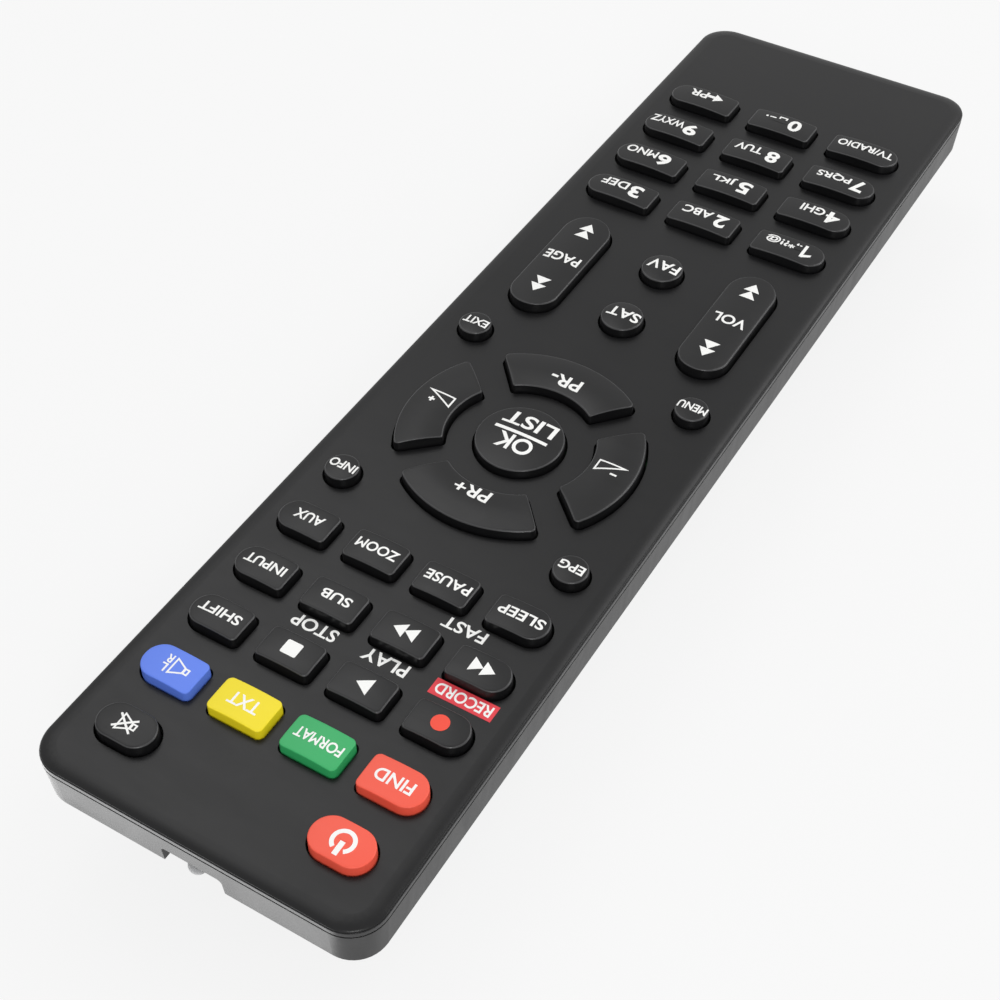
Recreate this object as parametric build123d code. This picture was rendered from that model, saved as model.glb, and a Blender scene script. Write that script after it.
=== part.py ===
# Hand-held remote control, 45 x 171 mm, lying on its back with the keys up.
# x runs across the keys, y towards the infrared emitter, z up through the keys.
# The origin is under the middle of the casing, on the face that it rests on.

import math
import os

from build123d import *

# Casing, outside
CASE_WIDTH = 45.0
CASE_LENGTH = 171.0
CORNER_RADIUS = 4.5
WALL = 1.5
PLATE_THICKNESS = 1.6
SEAM_DROP = 1.3  # key plate down to the parting line
SEAM_GAP = 0.24  # open height of the parting line
SEAM_DEPTH = 0.6
LIP_HEIGHT = 0.58  # upright band above the parting line
LIP_STEP = 0.1
BORDER_ROLL = 1.9  # width of the plate's rolled edge
BORDER_DROP = 0.42
SIDE_HEIGHT = 5.3  # parting line down to the lower edge of the wall
SIDE_DRAFT = 0.35
LEAST_CORNER = 0.5
LEDGE_THICKNESS = 1.5
LEDGE_SIDE = 1.65
LEDGE_EMITTER_END = 5.2
LEDGE_FAR_END = 2.2
BELLY_SLOPE = 3.0
BELLY_CORNER = 6.0
BELLY_LEAST_CORNER = 1.0
BELLY_EDGE_RADIUS = 1.8
BELLY_WALL = 1.6
BOTTOM_THICKNESS = 2.6
TONGUE_WIDTH = 0.8
TONGUE_DEPTH = 1.1
TONGUE_CLEARANCE = 0.15

# Batteries, two AAA cells side by side
CELL_RADIUS = 5.25
CELL_LENGTH = 44.5
CELL_EDGE_RADIUS = 0.4
CELL_NUB_RADIUS = 1.9
CELL_NUB_LENGTH = 0.8
CELL_CLEARANCE = 0.25
CELL_SPACING = 0.5
BAY_WALL = 1.2
BAY_CEILING = 1.0
BAY_END_MARGIN = 3.4  # from the outside of the belly's far end to the bay
REST_BITE = 0.2  # board rests sunk into the bay's roof
TERMINAL_THICKNESS = 0.4
TERMINAL_WIDTH = 8.0
TERMINAL_HEIGHT = 9.0
SPRING_LENGTH = 4.5
SPRING_RADIUS = 2.6
SPRING_WIRE = 0.6
SPRING_TURNS = 3.5
SPRING_CLEARANCE = 0.1

# Battery cover, sliding off towards the far end
COVER_THICKNESS = 1.6
COVER_MARGIN = 2.4  # cover beyond the bay, on each side
COVER_LEAD = 3.0  # cover beyond the bay, towards the emitter
COVER_TONGUE = 0.8
COVER_TONGUE_THICKNESS = 0.5
COVER_TONGUE_Z = 0.8
COVER_CLEARANCE = 0.15
COVER_TRAVEL = 45.0
GRIP_RIBS = 6
GRIP_START = 4.0
GRIP_PITCH = 1.6
GRIP_GROOVE = 0.7
GRIP_DEPTH = 0.4
GRIP_WIDTH = 13.0

# Circuit board, keypad mat and screws
BOARD_THICKNESS = 1.2
BOARD_GAP = 0.3
BOARD_MARGIN = 0.4
BOARD_EMITTER_SETBACK = 6.3
BOARD_CORNER = 2.0
PAD_THICKNESS = 0.05
PAD_RADIUS = 1.6
PAD_SLIT = 0.4
PILL_RADIUS = 1.5
PILL_THICKNESS = 0.2
MAT_THICKNESS = 1.25
MAT_MARGIN = 0.3
MAT_CLEARANCE = 0.3
SCREW_RADIUS = 1.1
SCREW_HEAD_RADIUS = 2.1
SCREW_HEAD_HEIGHT = 1.5
SCREW_LENGTH = 10.0
SCREW_SLOT_WIDTH = 0.5
SCREW_SLOT_DEPTH = 0.8
SCREW_SLOT_SHARE = 0.6  # of the head's radius
SCREW_EDGE_RADIUS = 0.4
SCREW_BITE = 1.2  # screw tip short of the plate's underside
SCREW_BLIND = 0.3  # boss hole past the screw's tip
THREAD_PLAY = 0.02
SCREW_END = 11.5  # front screw, from the emitter end
SCREW_MARGIN = 3.7  # middle screw, above the ring of keys
PILLAR_WALL = 1.2
SCREW_CLEARANCE = 0.25
BOSS_RADIUS = 2.1
BOSS_CLEARANCE = 0.3

# Keys
KEY_RISE = 1.5
KEY_TRAVEL = 0.8
KEY_CLEARANCE = 0.22
KEY_EDGE_RADIUS = 0.2
KEY_CORNER = 0.75
ROUND_END_SLACK = 0.02  # straight left between two round corners
PRESS_MARGIN = 0.02  # pill short of the board when pressed

# Key rows, measured from the emitter end of the casing
POWER_ROW = 8.3
MEDIA_ROW = 17.2
MEDIA_PITCH = 8.73
MEDIA_ROWS = 4
RING_CENTRE = 68.75
DIGIT_ROW = 121.25
DIGIT_PITCH = 9.07
DIGIT_ROWS = 4

# Key columns and sizes
POWER_X = 14.3
POWER_SIZE = (7.8, 5.0)
MEDIA_INNER_X = 4.93
MEDIA_OUTER_X = 15.08
MEDIA_INNER_WIDTH = 7.55
MEDIA_OUTER_WIDTH = 7.75
MEDIA_HEIGHT = 4.85
MEDIA_END_RADIUS = 2.35
ROUND_X = 16.4
ROUND_Y = 15.9  # small round keys above and below the ring's centre
ROUND_RADIUS = 2.35
OK_RADIUS = 5.9
RING_INNER = 9.7
RING_OUTER = 16.2
RING_TIP_RADIUS = 0.9
RING_ROOT_RADIUS = 0.35
RING_CROWN_MARGIN = 1.0
CHANNEL_ANGLES = (36.2, 38.4)  # half angle at the inner and outer arc
VOLUME_ANGLES = (30.2, 35.2)
MIDDLE_RADIUS = 3.05
MIDDLE_KEYS = (27.5, 39.4)  # below the ring's centre
ROCKER_X = 13.03
ROCKER_Y = 33.55
ROCKER_SIZE = (7.3, 21.6)
ROCKER_TILT = 3.5
DIGIT_X = 13.5
DIGIT_OUTER_WIDTH = 10.8
DIGIT_INNER_WIDTH = 10.3
DIGIT_HEIGHT = 4.9

# Crown of the key tops, as radii of the rounded surface
SMALL_CROWN = 16.0
MEDIA_CROWN = 34.0
OK_CROWN = 46.0
RING_CROWN = 19.0
ROCKER_CROWN = 22.0
DIGIT_CROWN = 48.0

# Infrared emitter and its notch
NOTCH_WIDTH = 8.1
NOTCH_TOP = 2.6  # below the parting line
NOTCH_DEPTH = 6.0
NOTCH_CORNER = 0.7
EMITTER_RADIUS = 1.15
EMITTER_DROP = 4.1  # axis below the parting line
EMITTER_SETBACK = 0.1  # tip behind the longest point of the casing
EMITTER_LENGTH = 5.2
EMITTER_FLANGE_RADIUS = 1.4
EMITTER_FLANGE = 0.8
LEAD_WIDTH = 0.4
LEAD_SPACING = 1.27
LEAD_RUN = 3.2
LEAD_CLEARANCE = 0.3

# Parts on the board
CHIP_END = 63.5  # from the emitter end, as the four below
RESONATOR_END = 45.5
CAPACITOR_END = 85.5
RESISTOR_END = 55.5
TRANSISTOR_END = 17.5
CHIP_BODY = (7.5, 17.9, 2.3)
CHIP_LEGS = 14
CHIP_LEG_PITCH = 1.27
CHIP_LEG_WIDTH = 0.42
CHIP_LEG_THICKNESS = 0.2
CHIP_LEG_REACH = 1.4
CHIP_STANDOFF = 0.15
RESONATOR_BODY = (8.0, 3.0, 5.5)
RESONATOR_X = -10.0
RESONATOR_CORNER = 1.2
RESONATOR_PINS = 3
RESONATOR_PITCH = 2.5
CAPACITOR_RADIUS = 2.5
CAPACITOR_LENGTH = 7.0
CAPACITOR_X = 10.0
CAPACITOR_EDGE_RADIUS = 0.4
PIN_WIDTH = 0.5
PIN_STUB = 0.5
PIN_ROOT = 1.0
RESISTOR_SIZE = (2.0, 1.25, 0.55)
RESISTOR_X = 10.0
RESISTOR_PITCH = 3.0
RESISTORS = 6
TRANSISTOR_SIZE = (2.9, 1.3, 1.1)
TRANSISTOR_X = 6.0

# Overshoot of the blocks that cut, and of a cut that ends on a face
CUT = 1.0
SKIN = 0.01

# Heights, stacked up from the resting face
BAY_HEIGHT = COVER_THICKNESS + 2 * (CELL_CLEARANCE + CELL_RADIUS)
BAY_ROOF = BAY_HEIGHT + BAY_CEILING
BOARD_Z = BAY_ROOF + BOARD_GAP
BOARD_TOP = BOARD_Z + BOARD_THICKNESS
PLATE_BOTTOM = BOARD_TOP + PAD_THICKNESS + MAT_THICKNESS
PLATE_TOP = PLATE_BOTTOM + PLATE_THICKNESS
SEAM_Z = PLATE_TOP - SEAM_DROP
SIDE_Z = SEAM_Z - SIDE_HEIGHT
WALL_TOP = SEAM_Z - SEAM_GAP / 2
LIP_Z = SEAM_Z + SEAM_GAP / 2
KEY_TOP = PLATE_TOP + KEY_RISE
PILL_Z = BOARD_TOP + PAD_THICKNESS + KEY_TRAVEL + PRESS_MARGIN
KEY_Z = PILL_Z + PILL_THICKNESS

# Places along the casing
END_Y = CASE_LENGTH / 2
BELLY_END = -END_Y + SIDE_DRAFT + LEDGE_FAR_END
BAY_Y0 = BELLY_END + BELLY_SLOPE + BAY_END_MARGIN
BAY_LENGTH = CELL_LENGTH + SPRING_LENGTH + 2 * TERMINAL_THICKNESS + 2 * SPRING_CLEARANCE
BAY_Y1 = BAY_Y0 + BAY_LENGTH
BAY_HALF = 2 * CELL_RADIUS + CELL_SPACING / 2 + CELL_CLEARANCE
CELL_X = CELL_RADIUS + CELL_SPACING / 2
CELL_Z = COVER_THICKNESS + CELL_CLEARANCE + CELL_RADIUS
COVER_HALF = BAY_HALF + COVER_MARGIN
COVER_Y1 = BAY_Y1 + COVER_LEAD
RING_Y = END_Y - RING_CENTRE
EMITTER_Z = SEAM_Z - EMITTER_DROP
EMITTER_TIP = END_Y - EMITTER_SETBACK
BOARD_Y1 = END_Y - BOARD_EMITTER_SETBACK
BOARD_Y0 = -END_Y + WALL + SIDE_DRAFT + BOARD_MARGIN
BOARD_HALF = CASE_WIDTH / 2 - WALL - SIDE_DRAFT - BOARD_MARGIN
SCREW_POINTS = ((0.0, END_Y - SCREW_END), (0.0, RING_Y + RING_OUTER + SCREW_MARGIN))
SCREW_TIP = PLATE_BOTTOM + PLATE_THICKNESS / 2 - SCREW_BITE / 2
SCREW_SEAT = SCREW_TIP - SCREW_LENGTH


def rounded_block(x0, x1, y0, y1, z0, z1, radius):
    """Upright block with rounded corners between the given limits."""
    outline = RectangleRounded(x1 - x0, y1 - y0, radius)
    block = extrude(Plane.XY.offset(z0) * outline, z1 - z0)
    return Pos((x0 + x1) / 2, (y0 + y1) / 2, 0) * block


def casing_layer(inset, z0, z1):
    """Slice of the casing's plan shape, drawn in by inset, from z0 to z1."""
    half_x = CASE_WIDTH / 2 - inset
    half_y = END_Y - inset
    radius = max(CORNER_RADIUS - inset, LEAST_CORNER)
    return rounded_block(-half_x, half_x, -half_y, half_y, z0, z1, radius)


def box(x0, x1, y0, y1, z0, z1):
    """Plain block between the given limits."""
    size = (x1 - x0, y1 - y0, z1 - z0)
    centre = Pos((x0 + x1) / 2, (y0 + y1) / 2, (z0 + z1) / 2)
    return centre * Box(*size)


def disc(x, y, z0, z1, radius):
    """Upright cylinder from z0 to z1."""
    return Pos(x, y, (z0 + z1) / 2) * Cylinder(radius, z1 - z0)


# Key outlines


def bar_outline(width, height, left, right, grow):
    """Key outline with its own corner radius at each end."""
    shape = Rectangle(width + 2 * grow, height + 2 * grow)
    limit = height / 2 + grow - ROUND_END_SLACK
    ends = shape.vertices().sort_by(Axis.X)
    shape = fillet(ends[:2], min(left + grow, limit))
    ends = shape.vertices().sort_by(Axis.X)
    return fillet(ends[-2:], min(right + grow, limit))


def ring_outline(angles, turn, grow):
    """Sector of the ring round the OK key, centred on the direction turn in degrees."""
    inner, outer = (math.radians(angle) for angle in angles)

    def point(radius, angle):
        return radius * math.sin(angle), radius * math.cos(angle)

    edges = [
        ThreePointArc(point(RING_OUTER, -outer), (0, RING_OUTER), point(RING_OUTER, outer)),
        Line(point(RING_OUTER, outer), point(RING_INNER, inner)),
        ThreePointArc(point(RING_INNER, inner), (0, RING_INNER), point(RING_INNER, -inner)),
        Line(point(RING_INNER, -inner), point(RING_OUTER, -outer)),
    ]
    shape = make_face(edges)
    corners = shape.vertices().sort_by(Axis.Y)
    tips = [v for v in corners if math.hypot(v.X, v.Y) > (RING_INNER + RING_OUTER) / 2]
    shape = fillet(tips, RING_TIP_RADIUS)
    roots = [v for v in shape.vertices() if math.hypot(v.X, v.Y) < (RING_INNER + RING_OUTER) / 2]
    shape = fillet(roots, RING_ROOT_RADIUS)
    if grow:
        shape = offset(shape, grow, kind=Kind.ARC)
    return Rot(0, 0, turn) * shape


def sphere_crown(radius):
    """Block whose top is a sphere cap that peaks at the key's top."""
    return Pos(0, 0, KEY_TOP - radius) * Sphere(radius)


def rocker_crown():
    """Block whose top is a long cylinder that peaks at the key's top."""
    bar = Rot(90, 0, 0) * Cylinder(ROCKER_CROWN, 2 * ROCKER_SIZE[1])
    return Pos(0, 0, KEY_TOP - ROCKER_CROWN) * bar


def ring_crown():
    """Round block whose top rises to a crown halfway across the ring."""
    middle = (RING_INNER + RING_OUTER) / 2
    reach = (RING_OUTER - RING_INNER) / 2 + RING_CROWN_MARGIN
    drop = RING_CROWN - math.sqrt(RING_CROWN**2 - reach**2)
    low = (middle - reach, KEY_TOP - drop)
    high = (middle + reach, KEY_TOP - drop)
    top = ThreePointArc(low, (middle, KEY_TOP), high)
    sides = Polyline(high, (high[0], 0), (low[0], 0), low)
    return revolve(Plane.XZ * make_face([top, sides]), Axis.Z, 360)


class Key:
    """One key: its place, its outline at any growth, its crown and its contact pills."""

    def __init__(self, x, y, outline, crown, pills=((0.0, 0.0),)):
        self.place = Pos(x, y, 0)
        self.outline = outline
        self.crown = crown
        self.pills = pills

    def prism(self, grow, z0, z1):
        """Outline grown by grow and raised from z0 to z1."""
        shape = extrude(Plane.XY.offset(z0) * self.outline(grow), z1 - z0)
        return self.place * shape

    def cap(self):
        """Solid key with its crowned top and softened upper edge."""
        body = extrude(Plane.XY.offset(KEY_Z) * self.outline(0), KEY_TOP - KEY_Z)
        body = body & self.crown
        edge = body.edges().filter_by(lambda e: e.center().Z > PLATE_TOP + KEY_EDGE_RADIUS)
        rim = [e for e in edge if e.bounding_box().size.Z < KEY_RISE / 2]
        return self.place * fillet(rim, KEY_EDGE_RADIUS)

    def contacts(self):
        """Conductive pills under the key."""
        return [self.place * disc(x, y, PILL_Z, KEY_Z, PILL_RADIUS) for x, y in self.pills]


def round_key(x, y, radius, crown):
    return Key(x, y, lambda grow: Circle(radius + grow), sphere_crown(crown))


def bar_key(x, y, width, height, left, right, crown):
    def outline(grow):
        return bar_outline(width, height, left, right, grow)

    return Key(x, y, outline, sphere_crown(crown))


def ring_key(angles, turn):
    def outline(grow):
        return ring_outline(angles, turn, grow)

    middle = (RING_INNER + RING_OUTER) / 2
    angle = math.radians(turn)
    pill = (-middle * math.sin(angle), middle * math.cos(angle))
    return Key(0, RING_Y, outline, ring_crown(), (pill,))


def rocker_key(x):
    def outline(grow):
        end = ROCKER_SIZE[0] / 2 - ROUND_END_SLACK
        width, length = ROCKER_SIZE
        return RectangleRounded(width + 2 * grow, length + 2 * grow, end + grow)

    reach = ROCKER_SIZE[1] / 2 - ROCKER_SIZE[0] / 2
    pills = ((0.0, -reach), (0.0, reach))
    return Key(x, RING_Y - ROCKER_Y, outline, rocker_crown(), pills)


def media_key(row, column):
    """Key of the coloured and playback rows; the outer ones have a round outer end."""
    x = (-MEDIA_OUTER_X, -MEDIA_INNER_X, MEDIA_INNER_X, MEDIA_OUTER_X)[column]
    width = MEDIA_OUTER_WIDTH if column in (0, 3) else MEDIA_INNER_WIDTH
    left = MEDIA_END_RADIUS if column == 0 else KEY_CORNER
    right = MEDIA_END_RADIUS if column == 3 else KEY_CORNER
    y = END_Y - MEDIA_ROW - row * MEDIA_PITCH
    return bar_key(x, y, width, MEDIA_HEIGHT, left, right, MEDIA_CROWN)


def digit_key(row, column):
    """Key of the number pad; the outer ones have a round outer end."""
    x = (column - 1) * DIGIT_X
    width = DIGIT_INNER_WIDTH if column == 1 else DIGIT_OUTER_WIDTH
    left = DIGIT_HEIGHT / 2 if column == 0 else KEY_CORNER
    right = DIGIT_HEIGHT / 2 if column == 2 else KEY_CORNER
    y = END_Y - DIGIT_ROW - row * DIGIT_PITCH
    return bar_key(x, y, width, DIGIT_HEIGHT, left, right, DIGIT_CROWN)


MEDIA_NAMES = (
    ("red", "green", "yellow", "blue"),
    ("record", "play", "stop", "shift"),
    ("rewind", "forward", "subtitle", "source"),
    ("sleep", "pause", "zoom", "input"),
)
DIGIT_NAMES = (
    ("digit_1", "digit_2", "digit_3"),
    ("digit_4", "digit_5", "digit_6"),
    ("digit_7", "digit_8", "digit_9"),
    ("tv_radio", "digit_0", "previous"),
)


def all_keys():
    """Every key of the handset by name."""
    keys = {}
    end = POWER_SIZE[1] / 2
    for name, side in (("power", -1), ("mute", 1)):
        x, y = side * POWER_X, END_Y - POWER_ROW
        keys[name] = bar_key(x, y, *POWER_SIZE, end, end, MEDIA_CROWN)
    for row, names in enumerate(MEDIA_NAMES[:MEDIA_ROWS]):
        for column, name in enumerate(names):
            keys[name] = media_key(row, column)
    for name, side, up in (("guide", -1, 1), ("info", 1, 1), ("menu", -1, -1), ("exit", 1, -1)):
        x, y = side * ROUND_X, RING_Y + up * ROUND_Y
        keys[name] = round_key(x, y, ROUND_RADIUS, SMALL_CROWN)
    keys["ok"] = round_key(0, RING_Y, OK_RADIUS, OK_CROWN)
    keys["channel_up"] = ring_key(CHANNEL_ANGLES, 0)
    keys["volume_down"] = ring_key(VOLUME_ANGLES, 90)
    keys["channel_down"] = ring_key(CHANNEL_ANGLES, 180)
    keys["volume_up"] = ring_key(VOLUME_ANGLES, 270)
    for name, below in zip(("satellite", "favourite"), MIDDLE_KEYS):
        keys[name] = round_key(0, RING_Y - below, MIDDLE_RADIUS, SMALL_CROWN)
    keys["volume_rocker"] = rocker_key(-ROCKER_X)
    keys["page_rocker"] = rocker_key(ROCKER_X)
    for row, names in enumerate(DIGIT_NAMES[:DIGIT_ROWS]):
        for column, name in enumerate(names):
            keys[name] = digit_key(row, column)
    return keys


# Casing


def belly_outline(z, inset):
    """Plan of the belly at height z, drawn in by inset."""
    slope = BELLY_SLOPE * (1 - z / SIDE_Z)
    half_x = CASE_WIDTH / 2 - SIDE_DRAFT - LEDGE_SIDE - slope - inset
    y0 = BELLY_END + slope + inset
    y1 = END_Y - SIDE_DRAFT - LEDGE_EMITTER_END - slope - inset
    shape = RectangleRounded(2 * half_x, y1 - y0, max(BELLY_CORNER - inset, BELLY_LEAST_CORNER))
    return Pos(0, (y0 + y1) / 2, z) * shape


def belly(inset, z0):
    """Tapered trough under the wall, drawn in by inset and cut off at z0."""
    return loft([belly_outline(z0, inset), belly_outline(SIDE_Z, inset)], ruled=True)


def belly_skin():
    """Outside of the belly, with its lower edge rounded for the hand."""
    body = belly(0, 0)
    return fillet(body.faces().sort_by(Axis.Z)[0].edges(), BELLY_EDGE_RADIUS)


def side_wall(inset, z0, z1):
    """Drafted wall between z0 and z1, drawn in by inset."""

    def outline(z):
        draw = inset + SIDE_DRAFT * (WALL_TOP - z) / (WALL_TOP - SIDE_Z)
        width, length = CASE_WIDTH - 2 * draw, CASE_LENGTH - 2 * draw
        radius = max(CORNER_RADIUS - draw, LEAST_CORNER)
        return Pos(0, 0, z) * RectangleRounded(width, length, radius)

    return loft([outline(z0), outline(z1)], ruled=True)


def cover_profile(grow):
    """Section of the battery cover with its side tongues, grown by a clearance."""
    lower = COVER_TONGUE_Z - grow
    upper = COVER_TONGUE_Z + COVER_TONGUE_THICKNESS + grow
    plate_half = COVER_HALF + grow
    tongue_half = COVER_HALF + COVER_TONGUE + grow
    top = COVER_THICKNESS + grow
    plate = Pos(0, top / 2) * Rectangle(2 * plate_half, top)
    tongue = Pos(0, (lower + upper) / 2) * Rectangle(2 * tongue_half, upper - lower)
    return plate + tongue


def cover_bar(grow):
    """Cover profile run from its front edge out past the far end."""
    front = COVER_Y1 + grow
    length = front + END_Y + COVER_TRAVEL
    return Pos(0, front, 0) * extrude(Plane.XZ * cover_profile(grow), length)


def notch():
    """Opening for the emitter, cut up into the wall and open underneath."""
    top = SEAM_Z - NOTCH_TOP
    height = top + NOTCH_CORNER
    shape = Rectangle(NOTCH_WIDTH, height, align=(Align.CENTER, Align.MAX))
    upper = shape.vertices().sort_by(Axis.Y)[-2:]
    shape = fillet(upper, NOTCH_CORNER)
    return Pos(0, END_Y + CUT, top) * extrude(Plane.XZ * shape, NOTCH_DEPTH + CUT)


def lead_slot():
    """Groove in the ledge behind the notch, where the emitter's leads run back."""
    half = LEAD_SPACING / 2 + LEAD_WIDTH / 2 + LEAD_CLEARANCE
    back = EMITTER_TIP - EMITTER_LENGTH - LEAD_RUN - LEAD_CLEARANCE
    return box(-half, half, back, END_Y, EMITTER_Z - LEAD_WIDTH / 2 - LEAD_CLEARANCE, BOARD_Z)


def screw_pillar(x, y):
    """Bottom shell's pillar for a screw, up to the board."""
    radius = SCREW_HEAD_RADIUS + SCREW_CLEARANCE + PILLAR_WALL
    return disc(x, y, BOTTOM_THICKNESS / 2, BOARD_Z, radius)


def screw_bore(x, y):
    """Stepped hole that takes a screw from the back."""
    wide = SCREW_HEAD_RADIUS + SCREW_CLEARANCE
    narrow = SCREW_RADIUS + SCREW_CLEARANCE
    head = disc(x, y, -CUT, SCREW_SEAT, wide)
    return head + disc(x, y, SCREW_SEAT - CUT, BOARD_Z + CUT, narrow)


def bottom_shell():
    floor_z = SIDE_Z + LEDGE_THICKNESS
    outside = side_wall(0, SIDE_Z, WALL_TOP) + belly_skin()
    hollow = side_wall(WALL, floor_z, WALL_TOP + SKIN) + belly(BELLY_WALL, BOTTOM_THICKNESS)
    hollow += extrude(belly_outline(SIDE_Z, BELLY_WALL), LEDGE_THICKNESS + SKIN)
    body = outside - hollow
    bay_box = box(-BAY_HALF - BAY_WALL, BAY_HALF + BAY_WALL, BAY_Y0 - BAY_WALL,
                  BAY_Y1 + BAY_WALL, BOTTOM_THICKNESS / 2, BAY_ROOF)
    body += bay_box
    rest_x = BAY_HALF / 2
    for y in (BAY_Y0, (BAY_Y0 + BAY_Y1) / 2, BAY_Y1):
        body += box(-rest_x, rest_x, y - BAY_WALL / 2, y + BAY_WALL / 2, BAY_ROOF - REST_BITE, BOARD_Z)
    for x, y in SCREW_POINTS:
        body += screw_pillar(x, y)
    for x, y in SCREW_POINTS:
        body -= screw_bore(x, y)
    body -= box(-BAY_HALF, BAY_HALF, BAY_Y0, BAY_Y1, -CUT, BAY_HEIGHT)
    body -= cover_bar(COVER_CLEARANCE)
    return body - notch() - lead_slot()


def battery_cover():
    grooves = []
    for rib in range(GRIP_RIBS):
        y = COVER_Y1 - GRIP_START - rib * GRIP_PITCH
        grooves.append(box(-GRIP_WIDTH / 2, GRIP_WIDTH / 2, y - GRIP_GROOVE, y, -CUT, GRIP_DEPTH))
    return (cover_bar(0) & belly_skin()) - grooves


def rolled_section(reach):
    """Section of the plate over the lip, flat on top and rolled down at both ends."""
    low, shoulder = LIP_Z + LIP_HEIGHT, PLATE_TOP - BORDER_DROP
    inner = reach - BORDER_ROLL
    roll = EllipticalCenterArc((inner, shoulder), BORDER_ROLL, BORDER_DROP, start_angle=0, arc_size=90)
    sides = Polyline((inner, PLATE_TOP), (0, PLATE_TOP), (0, low), (reach, low), (reach, shoulder))
    half = make_face([roll, sides])
    return half, half + mirror(half, Plane.YZ)


def plate():
    """Key plate above the lip, with its border rolled over all round."""
    radius = CORNER_RADIUS - LIP_STEP
    half_x, half_y = CASE_WIDTH / 2 - LIP_STEP, END_Y - LIP_STEP
    corner_x, corner_y = half_x - radius, half_y - radius
    body = extrude(Plane.XZ * rolled_section(half_x)[1], corner_y, both=True)
    body += extrude(Plane.YZ * rolled_section(half_y)[1], corner_x, both=True)
    corner = revolve(Plane.XZ * rolled_section(radius)[0], Axis.Z, 360)
    for side in (-1, 1):
        body += Pos(side * corner_x, corner_y, 0) * corner
        body += Pos(side * corner_x, -corner_y, 0) * corner
    return body


def top_shell(keys):
    body = plate()
    body += casing_layer(0, LIP_Z, LIP_Z + LIP_HEIGHT)
    body += casing_layer(SEAM_DEPTH, WALL_TOP, LIP_Z)
    inner = WALL + TONGUE_CLEARANCE
    body += casing_layer(inner, PLATE_BOTTOM, WALL_TOP)
    tongue = casing_layer(inner, PLATE_BOTTOM - TONGUE_DEPTH, PLATE_BOTTOM)
    body += tongue - casing_layer(inner + TONGUE_WIDTH, PLATE_BOTTOM - TONGUE_DEPTH, PLATE_BOTTOM)
    for x, y in SCREW_POINTS:
        body += disc(x, y, BOARD_Z, PLATE_BOTTOM, BOSS_RADIUS)
        body -= disc(x, y, BOARD_Z - CUT, SCREW_TIP + SCREW_BLIND, SCREW_RADIUS + THREAD_PLAY)
    low, high = PLATE_BOTTOM - CUT, PLATE_TOP + CUT
    return body - [key.prism(KEY_CLEARANCE, low, high) for key in keys.values()]


# Inside


def keypad_mat(keys):
    inset = WALL + TONGUE_CLEARANCE + TONGUE_WIDTH + MAT_MARGIN
    low = BOARD_TOP + PAD_THICKNESS
    mat = casing_layer(inset, low, PLATE_BOTTOM)
    front = BOARD_Y1 - MAT_MARGIN
    mat -= box(-CASE_WIDTH, CASE_WIDTH, front, CASE_LENGTH, low - CUT, PLATE_TOP)
    for x, y in SCREW_POINTS:
        mat -= disc(x, y, low - CUT, PLATE_TOP, BOSS_RADIUS + BOSS_CLEARANCE)
    return mat - [key.prism(MAT_CLEARANCE, low - CUT, PLATE_TOP) for key in keys.values()]


def circuit_board():
    limits = (-BOARD_HALF, BOARD_HALF, BOARD_Y0, BOARD_Y1, BOARD_Z, BOARD_TOP)
    board = rounded_block(*limits, BOARD_CORNER)
    for x, y in SCREW_POINTS:
        board -= disc(x, y, BOARD_Z - CUT, BOARD_TOP + CUT, BOSS_RADIUS + BOSS_CLEARANCE)
    return board


def contact_pads(keys):
    """Two half-round pads on the board under each pill."""
    pads = []
    slit = box(-PAD_SLIT / 2, PAD_SLIT / 2, -PAD_RADIUS, PAD_RADIUS, BOARD_TOP, PLATE_TOP)
    pair = disc(0, 0, BOARD_TOP, BOARD_TOP + PAD_THICKNESS, PAD_RADIUS) - slit
    for key in keys.values():
        for x, y in key.pills:
            pads += (key.place * Pos(x, y, 0) * pair).solids()
    return Compound(pads)


def screws():
    parts = []
    for x, y in SCREW_POINTS:
        head = disc(x, y, SCREW_SEAT - SCREW_HEAD_HEIGHT, SCREW_SEAT, SCREW_HEAD_RADIUS)
        reach, half = SCREW_HEAD_RADIUS * SCREW_SLOT_SHARE, SCREW_SLOT_WIDTH / 2
        low = SCREW_SEAT - SCREW_HEAD_HEIGHT
        deep = low + SCREW_SLOT_DEPTH
        cross = box(x - reach, x + reach, y - half, y + half, low - CUT, deep)
        cross += box(x - half, x + half, y - reach, y + reach, low - CUT, deep)
        screw = fillet(head.faces().sort_by(Axis.Z)[0].edges(), SCREW_EDGE_RADIUS) - cross
        screw += disc(x, y, SCREW_SEAT, SCREW_TIP, SCREW_RADIUS)
        parts += screw.solids()
    return Compound(parts)


def battery(side):
    """AAA cell; the left one points towards the emitter and the right one away from it."""
    can_length = CELL_LENGTH - CELL_NUB_LENGTH
    can = Cylinder(CELL_RADIUS, can_length, align=(Align.CENTER, Align.CENTER, Align.MIN))
    can = fillet(can.edges().filter_by(GeomType.CIRCLE), CELL_EDGE_RADIUS)
    nub = Cylinder(CELL_NUB_RADIUS, CELL_NUB_LENGTH, align=(Align.CENTER, Align.CENTER, Align.MIN))
    cell = can + Pos(0, 0, can_length) * nub
    start = TERMINAL_THICKNESS + SPRING_LENGTH + 2 * SPRING_CLEARANCE
    if side < 0:
        place = Pos(-CELL_X, BAY_Y0 + start, CELL_Z) * Rot(-90, 0, 0)
    else:
        place = Pos(CELL_X, BAY_Y1 - start, CELL_Z) * Rot(90, 0, 0)
    return place * cell


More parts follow.
